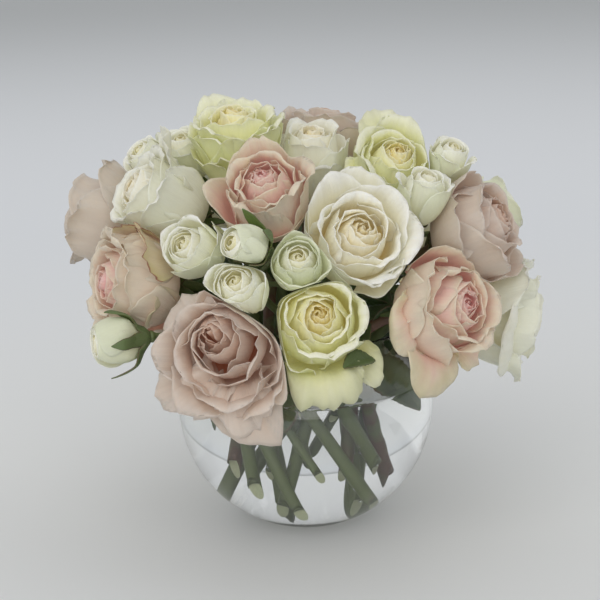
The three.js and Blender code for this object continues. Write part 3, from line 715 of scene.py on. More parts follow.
@dataclass(frozen=True)
class GreenFinish:
    """Stems, hips, sepals and leaves: waxy greens with a flush of red-brown and pale cut ends.

    Attributes:
        name: The material's name.
        bark: The colour of the stems.
        leaf: The upper side of leaves and sepals.
        under: Their paler underside.
        sepal: The fresher green of young sepals.
        flush: The red-brown that creeps over older stems and leaf rims.
        pith: The pale wood of a cut end.
        aged: How much of the flush shows, from 0 to 1.
    """

    name: str
    bark: Colour = (0.15, 0.19, 0.075)
    leaf: Colour = (0.045, 0.08, 0.024)
    under: Colour = (0.15, 0.2, 0.09)
    sepal: Colour = (0.13, 0.19, 0.045)
    flush: Colour = (0.15, 0.08, 0.055)
    pith: Colour = (0.62, 0.66, 0.42)
    aged: float = 0.25

    def material(self) -> bpy.types.Material:
        """Makes the material. It reads cut, foliage, young, across, height, back and grain.

        Returns:
            The material.
        """
        bench = Bench(self.name)
        cut, foliage, back, across, height, grain = bench.values(
            "cut", "foliage", "back", "across", "height", "grain"
        )
        blotch = bench.noise(bench.where(), 55.0, 3.0, 0.6)
        speck = bench.noise(bench.where(), 700.0)
        fibre = bench.noise(bench.vector(grain * 0.03, across * 3, blotch), 3.0, 3.0)
        bark = bench.mix(
            (blotch + (fibre - 0.5) * 0.5).eased(0.75 - 0.5 * self.aged, 0.95 - 0.4 * self.aged),
            self.bark, self.flush,
        )
        side_vein = ((height * 13 - abs(across) * 3.2) * 2 * math.pi).wave().eased(0.8, 1.0)
        midrib = abs(across).eased(0.1, 0.0)
        net = (midrib + side_vein * 0.5) * foliage
        green = bench.mix(bench.values("young")[0], self.leaf, self.sepal)
        top = bench.mix(net * 0.35, green, self.under)
        blade_colour = bench.mix(back * 0.75, top, self.under)
        rimmed = bench.mix(
            abs(across).eased(0.8, 1.0) * blotch.eased(0.35, 0.6) * 0.7, blade_colour, self.flush
        )
        plant = bench.mix(foliage, bark, rimmed)
        whole = bench.mix(cut * (0.7 + 0.3 * speck), plant, self.pith)
        tone = 0.82 + 0.28 * blotch + (speck - 0.5) * 0.12
        return bench.output(bench.principled(
            Base_Color=bench.shade(whole, tone),
            Roughness=0.36 + 0.25 * speck,
            Subsurface_Weight=0.12,
            Subsurface_Radius=(0.6, 1.0, 0.3),
            Subsurface_Scale=0.002,
            Specular_IOR_Level=0.45,
            Normal=bench.bump(net * -1 + speck * 0.25 + fibre * 0.3, 0.3, 0.4),
        ))


@dataclass(frozen=True)
class ClearFinish:
    """Glass, water or air: bright where a light's ray only passes, so what stands within is lit.

    Attributes:
        name: The material's name.
        tint: The colour that passes.
        index: The index of refraction, seen from outside the piece.
        wander: How far slow waves in the surface bend it, in millimetres.
    """

    name: str
    tint: Colour
    index: float
    wander: float = 0.0

    def material(self) -> bpy.types.Material:
        """Makes the material.

        Returns:
            The material.
        """
        bench = Bench(self.name)
        inputs: dict[str, object] = {
            "Base_Color": self.tint, "Roughness": 0.0, "IOR": self.index,
            "Transmission_Weight": 1.0,
        }
        if self.wander:
            inputs["Normal"] = bench.bump(bench.noise(bench.where(), 45.0, 1.0), 1.0, self.wander)
        body = bench.principled(**inputs)
        passing = bench.node("ShaderNodeBsdfTransparent", {}, {"Color": self.tint})
        path = bench.node("ShaderNodeLightPath")
        mixed = bench.node("ShaderNodeMixShader", {}, {
            0: path.outputs["Is Shadow Ray"], 1: body, 2: passing.outputs[0],
        })
        return bench.output(mixed.outputs[0])


@dataclass(frozen=True)
class TableFinish:
    """The pale matt surface that the bowl stands on, lighter round the bowl as a painted pool of
    light and darker far off as painted shade.

    Attributes:
        name: The material's name.
        colour: Its colour from about a metre away.
        near: Its colour round the bowl, lighter as a painted pool of light.
        far: Its colour where it meets the horizon, darker as painted shade.
    """

    name: str = "pale_table"
    colour: Colour = (0.79, 0.81, 0.835)
    near: Colour = (0.83, 0.84, 0.835)
    far: Colour = (0.43, 0.445, 0.45)

    def material(self) -> bpy.types.Material:
        """Makes the material.

        Returns:
            The material.
        """
        bench = Bench(self.name)
        span = bench.node("ShaderNodeVectorMath", {"operation": "LENGTH"}, {0: bench.where()})
        radius = Wire(bench, span.outputs["Value"])
        # Painted light and shade: lighter in a pool round the bowl, darker far off towards the
        # horizon
        inner = bench.mix(radius.eased(0.2, 0.9), self.near, self.colour)
        return bench.output(bench.principled(
            Base_Color=bench.mix(radius.eased(0.9, 3.5), inner, self.far),
            Roughness=0.55, Specular_IOR_Level=0.25,
        ))


# ---------------------------------------------------------------- blooms


@dataclass(frozen=True)
class Guard:
    """A large outer petal that reaches past the round of its bloom.

    Attributes:
        angle: Where it stands, seen from the bloom's front.
        reach: How far out it goes, over the radius.
        level: Its height over the bloom's height where it begins to turn back.
        width: Half its width over the radius.
        point: How round its tip is: 1 is a point.
        tip: The angle that it turns back to.
        ruffle: The height of its waves over the radius.
        aside: Where its tip stands across it, from -1 to 1.
        drop: How much shorter it is at its sides, or 0 where that follows from its point.
        age: How far it has turned the guard colour.
    """

    angle: float
    reach: float
    level: float
    width: float
    point: float = 2.2
    tip: float = -50.0
    ruffle: float = 0.03
    aside: float = 0.0
    drop: float = 0.0
    age: float = 0.5


@dataclass(frozen=True)
class Bloom:
    """A flower on its stem.

    Attributes:
        name: Its name, after the node's prefix.
        variety: The rose's kind.
        form: How far it has opened.
        heart: The top of its middle.
        face: The azimuth and elevation it looks to.
        size: Its radius and height.
        slot: Its stem's ring and place in the mouth of the bowl, or None for one on a branch.
        spin: The turn of its petals.
        guards: Its large outer petals.
        leaf: One on the stem: place along the neck, azimuth, elevation, roll and length.
        frill: Extra small petals in the heart.
        lean: How far the heart stands off the axis, to the side and up, over the radius.
        sway: How far the outer petals do.
        claim: How strongly it crowds its neighbours, where 1 is even.
        fade: How far it has faded, to the colour of outer petals with rounder rims.
    """

    name: str
    variety: Variety
    form: Form
    heart: Point
    face: Pair
    size: Pair
    slot: Slot | None
    spin: float
    guards: tuple[Guard, ...] = ()
    leaf: tuple[float, float, float, float, float] | None = None
    frill: int = 0
    lean: Pair = (0.0, 0.0)
    sway: Pair = (0.0, 0.0)
    claim: float = 1.0
    fade: float = 0.0

    @property
    def radius(self) -> float:
        """The bloom's radius."""
        return self.size[0]

    @property
    def height(self) -> float:
        """From its seat to the top of its heart."""
        return self.size[1]

    @cached_property
    def frame(self) -> np.ndarray:
        """The bloom's directions.

        Returns:
            Its side, up and axis, as rows.
        """
        axis = towards(*self.face)
        side = unit(np.cross(UPWARD, axis))
        return np.array([side, np.cross(axis, side), axis])

    @cached_property
    def seat(self) -> np.ndarray:
        """Where the bloom sits on its stem."""
        return np.array(self.heart) - self.height * self.frame[2]

    @cached_property
    def middle(self) -> np.ndarray:
        """The middle of the petals."""
        return self.seat + 0.55 * self.height * self.frame[2]

    @property
    def reach(self) -> float:
        """How wide the bloom counts where it meets its neighbours."""
        return self.claim * self.radius * (1 if self.form is Form.BUD else 0.9)

    @property
    def on_spray(self) -> bool:
        """Whether it is a head of a branching stem."""
        return self.slot is None

    @property
    def hip(self) -> Pair:
        """The radius and length of the hip under the petals."""
        return (3.4, 6.0) if self.on_spray else (5.0, 9.0)

    def outward(self, points: np.ndarray) -> np.ndarray:
        """Points of the bloom's own frame in the frame of the whole."""
        return self.seat + points @ self.frame


# Short names for the tables of blooms
D, C, B, L = Variety.DUSTY, Variety.CREAM, Variety.BLUSH, Variety.LEMON
OPEN, CUP, SPRAY, BUD = Form.OPEN, Form.CUP, Form.SPRAY, Form.BUD
OUTER, MIDDLE, INNER = Course.OUTER, Course.MIDDLE, Course.INNER

# Front ones first, then round the bowl, then up the dome to its top
ROSES = (
    Bloom("dusty_front", D, OPEN, (-56, -109, 140), (-20, 14), (51, 42), (OUTER, 0), 40,
          (Guard(-98, 0.94, 0.46, 0.92, 1.0, -46, 0.04, 0.45, 0.4),
           Guard(-152, 1.06, 0.48, 0.66, 1.1, -35, 0.05),
           Guard(150, 0.93, 0.48, 0.6, 2.0, -50, 0.05),
           Guard(-12, 0.92, 0.56, 0.7, 1.3, -40, 0.05),
           Guard(-72, 0.76, 0.6, 0.85, 1.5, -46, 0.07),
           Guard(-128, 0.74, 0.62, 0.8, 1.5, -46, 0.07)),
          lean=(0.06, 0.14), sway=(0.28, -0.2), claim=1.3),
    Bloom("lemon_front", L, CUP, (8, -103, 151), (3, 28), (41, 44), (OUTER, 1), 300,
          (Guard(-89, 1.2, 0.64, 0.62, 3.4, -100, 0.06, age=0.7),
           Guard(-40, 1.2, 0.36, 0.34, 2.2, -70, age=0.7),
           Guard(112, 1.1, 0.74, 0.26, 1.6, 20)), (0.65, 22, -20, 26, 43)),
    Bloom("blush_right", B, CUP, (90, -78, 148), (42, 16), (45, 44), (OUTER, 2), 10,
          (Guard(-122, 1.12, 0.5, 0.85, 1.3, -50), Guard(-172, 1.04, 0.5, 0.65, 1.6, -60, 0.05),
           Guard(-46, 1.14, 0.34, 0.55, 1.7, -50, 0.06)), (0.91, 116, 9, -63, 47), 4),
    Bloom("cream_right", C, CUP, (136, -8, 119), (88, -8), (44, 42), (OUTER, 3), 120,
          (Guard(-165, 0.9, 0.6, 0.95, 2.4, -70, 0.03),), (0.84, 146, 29, -48, 45), fade=0.5),
    Bloom("cream_back_right", C, OPEN, (96, 82, 148), (130, 14), (48, 44), (OUTER, 5), 70,
          (), (0.74, 185, -23, 39, 47)),
    Bloom("blush_back", B, CUP, (6, 126, 146), (178, 12), (48, 45), (OUTER, 6), 200,
          (), (0.91, 104, -15, 81, 46), 6),
    Bloom("lemon_back_left", L, OPEN, (-92, 86, 148), (228, 14), (48, 44), (OUTER, 7), 330,
          (), (0.73, 270, -21, 52, 46)),
    Bloom("dusty_left", D, CUP, (-131, 26, 183), (256, 14), (41, 42), (OUTER, 8), 90,
          (), (0.94, 185, 47, 75, 47), fade=1.3),
    Bloom("blush_left", B, CUP, (-112, -50, 158), (-62, 10), (46, 44), (OUTER, 9), 250,
          (Guard(120, 1.2, 0.62, 0.75, 2.4, 20, 0.04, age=1.0),
           Guard(58, 1.14, 0.66, 0.6, 2.0, 10, 0.05, age=1.0),
           Guard(-40, 1.02, 0.5, 0.6, 2.0, -40, 0.05)), (0.82, -130, -3, 82, 46),
          claim=1.16, fade=0.7),
    Bloom("cream_centre", C, OPEN, (33, -78, 192), (12, 34), (46, 42), (MIDDLE, 1), 150,
          (Guard(-60, 1.12, 0.42, 0.6, 2.2, -60, 0.05),)),
    Bloom("dusty_right", D, CUP, (114, -32, 187), (70, 28), (47, 44), (MIDDLE, 3), 20,
          (), (0.89, 129, 16, 80, 47)),
    Bloom("dusty_back_right", D, OPEN, (56, 70, 206), (140, 44), (46, 43), (MIDDLE, 4), 280,
          (), (0.81, 190, 19, 29, 48)),
    Bloom("cream_back_left", C, CUP, (-48, 76, 204), (213, 44), (46, 43), (MIDDLE, 5), 60,
          (), (0.88, 172, 14, -32, 42)),
    Bloom("cream_left", C, CUP, (-95, -24, 207), (-68, 34), (40, 46), (MIDDLE, 7), 310,
          (Guard(72, 1.08, 0.84, 0.5, 1.8, 40, 0.08), Guard(124, 1.12, 0.78, 0.45, 1.6, 10, 0.09),
           Guard(-168, 1.02, 0.7, 0.5, 1.8, 0, 0.07)), (0.86, -126, 31, -65, 50), fade=0.5),
    Bloom("blush_upper", B, CUP, (-21, -60, 218), (-8, 46), (37, 46), (MIDDLE, 8), 190,
          (Guard(-70, 1.04, 0.4, 0.75, 2.2, -50),), None, 14),
    Bloom("lemon_right", L, CUP, (56, -20, 223), (20, 48), (37, 42), (INNER, 0), 230,
          (Guard(95, 0.88, 0.74, 0.6, 2.4, 0, 0.05), Guard(-170, 1.0, 0.62, 0.5, 2.0, -50, 0.05)),
          fade=0.3),
    Bloom("dusty_top", D, OPEN, (18, 40, 238), (150, 76), (46, 42), (INNER, 1), 100, fade=0.8),
    Bloom("lemon_top", L, OPEN, (-38, -4, 246), (-20, 76), (41, 44), (INNER, 2), 0,
          (Guard(-125, 1.1, 0.42, 0.8, 2.4, -15, 0.08), Guard(-48, 1.06, 0.46, 0.8, 2.4, -15, 0.08),
           Guard(172, 1.06, 0.6, 0.6, 2.0, -5, 0.08)), fade=0.3),
    Bloom("cream_top", C, CUP, (7, -2, 232), (6, 72), (33, 42), (INNER, 3), 140, fade=0.3),
)


def head(name: str, form: Form, heart: Point, face: Pair, size: Pair, spin: float,
         fade: float = 0.0) -> Bloom:
    """A small rose or bud on a branching stem."""
    return Bloom(name, Variety.IVORY, form, heart, face, size, None, spin, fade=fade)


@dataclass(frozen=True)
class SprayGroup:
    """A branching stem.

    Attributes:
        name: Its name, after the node's prefix.
        slot: Its ring and place in the mouth of the bowl.
        origin: The point that its branches leave.
        heads: Its small roses and buds.
    """

    name: str
    slot: Slot
    origin: Point
    heads: tuple[Bloom, ...]


SPRAYS = (
    SprayGroup("front", (MIDDLE, 0), (-24, -38, 146), (
        head("front_left", SPRAY, (-66, -70, 184), (-34, 34), (23, 27), 30),
        head("front_low", SPRAY, (-37, -97, 169), (-14, 42), (24, 26), 110),
        head("front_right", SPRAY, (-2, -90, 180), (2, 42), (23, 26), 210, 1.4),
        head("front_bud", BUD, (-40, -92, 189), (-50, 20), (16, 29), 300),
    )),
    SprayGroup("left", (OUTER, 10), (-46, -44, 124.5), (
        head("left_bud", BUD, (-119, -76, 129), (-74, -2), (18, 34), 60),
    )),
    SprayGroup("right", (MIDDLE, 2), (46, -16, 158), (
        head("right_high", SPRAY, (89, -12, 224), (40, 58), (16, 28), 160),
        head("right_low", SPRAY, (71, -42, 213), (24, 66), (19, 32), 20),
    )),
    SprayGroup("upper_left", (MIDDLE, 6), (-38, 14, 168), (
        head("upper_left_inner", SPRAY, (-69, 8, 229), (-34, 60), (19, 28), 250),
        head("upper_left_outer", SPRAY, (-95, 14, 222), (-66, 46), (18, 26), 80),
    )),
    SprayGroup("back", (OUTER, 4), (36, 38, 140), (
        head("back_right", SPRAY, (42, 108, 184), (158, 30), (23, 27), 200),
        head("back_left", SPRAY, (-42, 108, 184), (203, 30), (23, 27), 320),
        head("right_side", SPRAY, (126, 42, 178), (108, 20), (25, 28), 40),
    )),
)

BLOOMS = ROSES + tuple(one for group in SPRAYS for one in group.heads)

# Each variety's outer rims: the power of their shape, where a low one ends in a point, and how
# strongly they wave, over the radius
RIMS = {D: (1.2, 0.036), C: (2.2, 0.036), B: (1.6, 0.054), L: (2.2, 0.042),
        Variety.IVORY: (2.4, 0.03)}


@dataclass(frozen=True)
class Ring:
    """A ring of stems that lean across the bowl.

    Attributes:
        count: How many slots it has.
        start: The first one's azimuth.
        slot: Their radius in the mouth of the bowl.
        slot_height: Their height there.
        foot: The stems' radius near the floor.
        foot_height: The height of the lowest foot.
        twist: How far round a foot stands from its slot.
        trims: Shares of the way up to the slot cut off at the foot, for three stems in turn.
    """

    count: int
    start: float
    slot: float
    slot_height: float
    foot: float
    foot_height: float
    twist: float
    trims: tuple[float, float, float]


RINGS = {
    OUTER: Ring(11, -27, 41, 106, 40, 17, 88, (0, 0.22, 0.1)),
    MIDDLE: Ring(9, -10, 27, 112, 22, 12, -70, (0.25, 0.05, 0.5)),
    INNER: Ring(4, 70, 11, 116, 9, 10, 50, (0.6, 0.45, 0.55)),
}
# Radii of the stems
ROSE_STEM, SPRAY_STEM, BRANCH = 3.3, 2.2, 1.6
# Rings of a hip: their places over its length, from the bloom's seat, and radii over its width
HIP_PLACES = np.array([-0.52, -0.4, -0.26, -0.12, -0.05])
HIP_RADII = np.array([0.72, 0.95, 1.0, 0.9, 0.6])


def slot_line(slot: Slot) -> tuple[np.ndarray, np.ndarray]:
    """The straight lower part of a stem.

    Args:
        slot: Its ring and its place in it.

    Returns:
        Its foot in the water, and the slot where it bends outwards.
    """
    ring, index = RINGS[slot[0]], slot[1]
    azimuth = ring.start + index * 360 / ring.count
    foot = towards(azimuth + ring.twist, 0) * ring.foot
    mouth = towards(azimuth, 0) * ring.slot
    foot[2] = ring.foot_height + (index % 3) * 3
    mouth[2] = ring.slot_height
    return foot + ring.trims[index % 3] * (mouth - foot), mouth


def neck(start: np.ndarray, direction: np.ndarray, bloom: Bloom) -> Curve:
    """A curve that leaves a point along a direction and meets a hip along the bloom's axis.

    Args:
        start: The point.
        direction: The direction.
        bloom: The bloom over the hip.

    Returns:
        The curve's four points.
    """
    axis = bloom.frame[2]
    end = bloom.seat - 0.6 * bloom.hip[1] * axis
    span = float(np.linalg.norm(end - start))
    return start, start + 0.45 * span * direction, end - 0.3 * span * axis, end


def rose_neck(bloom: Bloom) -> Curve:
    """The neck of a large rose's stem.

    Args:
        bloom: The rose.

    Returns:
        The curve's four points.
    """
    assert bloom.slot is not None
    foot, mouth = slot_line(bloom.slot)
    return neck(mouth, unit(mouth - foot), bloom)


def trunk(group: SprayGroup) -> tuple[Curve, np.ndarray, np.ndarray]:
    """A spray's main stem above the slot.

    Args:
        group: The spray.

    Returns:
        Its curve, the point its branches leave, and its direction.
    """
    foot, mouth = slot_line(group.slot)
    start = np.array(group.origin, float)
    span = float(np.linalg.norm(start - mouth))
    outward = unit(start - mouth)
    curve = (mouth, mouth + 0.4 * span * unit(mouth - foot), start - 0.4 * span * outward, start)
    return curve, start, outward


def branch_neck(group: SprayGroup, bloom: Bloom) -> Curve:
    """The neck from a spray's main stem to one of its heads."""
    _, start, outward = trunk(group)
    return neck(start - SPRAY_STEM * outward, outward, bloom)


@dataclass
class Crowd:
    """The room that each bloom's petals have among the others, the stems and the bowl.

    Attributes:
        margin: Half the gap kept to a neighbour.
        soft: The share of the room that petals fill before they begin to crowd.
        blend: How round the corners of the room are.
        still: How far from its seat a petal isn't pressed at all.
        easing: How far beyond that it is pressed in full.
        bowl_radius: The radius of the ball that no petal enters.
        bowl_centre: The height of its centre.
        near: How far off a bead still counts, over the bloom's radius.
        rose_beads: How many steps the beads on a rose's neck take.
        trunk_beads: How many on a spray's main stem.
        branch_beads: How many on a branch.
        rooms: For each bloom, the planes that bound it, as unit directions and distances.
    """

    margin: float = 0.6
    soft: float = 0.85
    blend: int = 8
    still: float = 4.0
    easing: float = 8.0
    bowl_radius: float = 77.2
    bowl_centre: float = 70.4
    near: float = 1.3
    rose_beads: int = 8
    trunk_beads: int = 5
    branch_beads: int = 6
    rooms: dict[str, tuple[np.ndarray, np.ndarray]] = field(default_factory=dict)

    def beads(self) -> list[tuple[np.ndarray, float, tuple[str, ...]]]:
        """Beads strung along the necks, with one for each hip.

        Returns:
            Each one's centre, radius and the blooms that it serves.
        """
        lines = [(rose_neck(one), self.rose_beads, ROSE_STEM, (one.name,), one.hip[0])
                 for one in ROSES]
        for group in SPRAYS:
            served = tuple(one.name for one in group.heads)
            lines.append((trunk(group)[0], self.trunk_beads, SPRAY_STEM, served, 0.0))
            lines += [
                (branch_neck(group, one), self.branch_beads, BRANCH, (one.name,), one.hip[0])
                for one in group.heads
            ]
        strung = []
        for curve, steps, radius, serves, hip in lines:
            points = bezier(curve, np.linspace(0, 1, steps + 1))
            strung += [(point, radius, serves) for point in points]
            if hip:
                strung.append((points[-1], hip, serves))
        return strung

    def survey(self) -> None:
        """Finds the rooms.

        A plane parts two blooms by the shares of their reach, and others keep the petals off
        near stems and the bowl.
        """
        beads = self.beads()
        for bloom in BLOOMS:
            walls = [(other.middle, bloom.reach / (bloom.reach + other.reach), 0.0)
                     for other in BLOOMS if other is not bloom]
            walls += [(centre, 1.0, radius) for centre, radius, serves in beads
                      if bloom.name not in serves
                      and np.linalg.norm(centre - bloom.middle) < self.near * bloom.radius]
            walls.append((np.array([0, 0, self.bowl_centre]), 1.0, self.bowl_radius))
            away = np.array([wall[0] for wall in walls]) - bloom.middle
            share, radius = np.array([wall[1:] for wall in walls]).T
            span = np.linalg.norm(away, axis=1)
            self.rooms[bloom.name] = away / span[:, None], span * share - radius - self.margin

    def press(self, bloom: Bloom, points: np.ndarray) -> np.ndarray:
        """Presses points back towards the bloom's middle, so that petals crowd in their room.

        The way out of the room along a direction is a smooth blend of the planes. Up to the soft
        share of it a point stays, and beyond it nears the way out by an exponential.

        Args:
            bloom: The bloom.
            points: Points of the whole's frame, with 3 as the last axis.

        Returns:
            The points in their room.
        """
        directions, distances = self.rooms[bloom.name]
        flat = points.reshape(-1, 3)
        away = flat - bloom.middle
        length = np.linalg.norm(away, axis=1)
        heading = away / np.maximum(length, 1e-6)[:, None]
        facing = np.maximum(heading @ directions.T, 0) / np.maximum(distances, 0.5)
        exit_at = np.maximum((facing**self.blend).sum(1), 1e-30) ** (-1 / self.blend)
        share = length / exit_at
        left = 1 - self.soft
        kept = self.soft + left * (1 - np.exp((self.soft - share) / left))
        target = bloom.middle + heading * (kept * exit_at)[:, None]
        from_seat = np.linalg.norm(flat - bloom.seat, axis=1)
        weight = smooth((from_seat - self.still) / self.easing)[:, None]
        settled = np.where((share > self.soft)[:, None], flat + (target - flat) * weight, flat)
        return settled.reshape(points.shape)


@dataclass(frozen=True)
class Petal:
    """One petal's meridian, lip and outline, in millimetres and degrees of the bloom's frame.

    Attributes:
        root: Radius and height where it is attached, as for the next three.
        guide1: First guide point of the Bezier curve.
        guide2: Second guide point.
        lip_start: Where the lip begins.
        lip_length: Length of the arc of the lip.
        tip_angle: The angle that the lip ends at.
        side_curl: How much further the lip turns at the sides.
        curl: The power of the way along the lip that its turn follows.
        angle: Where it stands round the axis.
        half_width: Half its width at the widest.
        layer: 0 in the heart, 1 outside.
        swing: The half angle it spans, for a guard petal, or 0.
        age: How far it has turned the guard colour.
        tuck: How far one edge stands out over the neighbour's.
        drop: How much shorter it is at the sides.
        point: The power of u in that: a low one gives a pointed tip, a high one a round rim.
        aside: Where the tip stands across it, from -1 to 1.
        roll: How far its side edges roll out.
        ruffle: The height of the waves along its rim.
        seed: A number from 0 to 1 that its waves and tint follow.
    """

    root: Pair
    guide1: Pair
    guide2: Pair
    lip_start: Pair
    lip_length: float
    tip_angle: float
    side_curl: float
    angle: float
    half_width: float
    layer: float
    swing: float = 0.0
    age: float = 0.0
    tuck: float = 0.0
    drop: float = 0.3
    point: float = 3.0
    aside: float = 0.0
    curl: float = 2.0
    roll: float = 0.0
    ruffle: float = 0.0
    seed: float = 0.5

    def meridian(self, u: np.ndarray, v: np.ndarray) -> tuple[np.ndarray, np.ndarray, np.ndarray]:
        """Radius and height of the middle surface.

        A Bezier curve carries the meridian to the lip. The lip turns by a power of the way along
        it, so that it curls most at the rim, and its run is summed at Gauss points. The sides are
        lower by a power of u, and roll outwards.

        Args:
            u: From -1 to 1 across the petal.
            v: From 0 at the root to 1 at the rim.

        Returns:
            Radius, height and the share of the way up, as arrays.
        """
        off = u - self.aside
        off = np.abs(off) / (1 - self.aside * np.sign(off))
        up = v * (1 - self.drop * off**self.point)
        s = np.minimum(1, up / LIP)
        weights = ((1 - s) ** 3, 3 * s * (1 - s) ** 2, 3 * s * s * (1 - s), s**3)
        corners = (self.root, self.guide1, self.guide2, self.lip_start)
        rho = sum(w * c[0] for w, c in zip(weights, corners))
        z = sum(w * c[1] for w, c in zip(weights, corners))
        q = np.maximum(0, (up - LIP) / (1 - LIP))
        start = math.atan2(self.lip_start[1] - self.guide2[1], self.lip_start[0] - self.guide2[0])
        turn = np.radians(self.tip_angle - self.side_curl * np.abs(u) ** 1.5) - start
        nodes, shares = np.polynomial.legendre.leggauss(6)
        heading = start + turn[..., None] * (q[..., None] * (nodes + 1) / 2) ** self.curl
        rho = rho + self.lip_length * q * (np.cos(heading) @ shares) / 2
        z = z + self.lip_length * q * (np.sin(heading) @ shares) / 2
        rolled = self.roll * smooth((np.abs(u) - 0.5) / 0.5) ** 1.5 * smooth((up - 0.25) / 0.4)
        rho = rho + self.tuck * u * smooth(up * 2) + rolled
        return rho, z - 0.5 * rolled, up

    def surface(self, u: np.ndarray, v: np.ndarray) -> np.ndarray:
        """Points of the petal's middle surface in the bloom's frame.

        The petal spans its width over its radius, up to 112 degrees to each side, and waves run
        along its rim with a soft crease up its middle.

        Args:
            u: From -1 to 1 across the petal, as a grid.
            v: From 0 to 1 up the petal.

        Returns:
            The grid's points.
        """
        rho, z, up = self.meridian(u, v)
        if self.swing:
            spread = math.radians(self.swing) * (0.35 + 0.65 * smooth(up / 0.6))
        else:
            q = np.maximum(0, (up - LIP) / (1 - LIP))
            width = self.half_width * (0.2 + 0.8 * smooth(up / 0.62)) * (1 - 0.12 * q * q)
            base = max(0.75 * max(self.guide1[0], self.lip_start[0]), 0.5)
            spread = np.minimum(width / np.maximum(rho, base), WIDEST)
        angle = math.radians(self.angle) + u * spread
        grid = np.stack([rho * np.cos(angle), rho * np.sin(angle), z], -1)
        normal = normals_of(grid)
        phase = self.seed * 40
        rim = smooth((v - 0.45) / 0.55) ** 1.3
        wave = (
            np.sin(2.3 * math.pi * u + phase) * (0.4 + 0.6 * np.abs(u))
            + 0.55 * np.sin(4.7 * math.pi * u + 1.7 * phase + 2 * v)
            + 0.5 * np.sin(5.2 * v + 2.1 * u + 2.3 * phase)
            + 0.4 * rim**3 * np.sin(8.3 * math.pi * u + 3.1 * phase)
            + 0.22 * rim**4 * np.sin(14.7 * math.pi * u + 5.3 * phase)
        )
        crease = -0.6 * np.exp(-((u / 0.16) ** 2)) * smooth(v * 1.4) * (1 - 0.4 * rim)
        return grid + normal * (self.ruffle * (wave * rim + crease))[..., None]


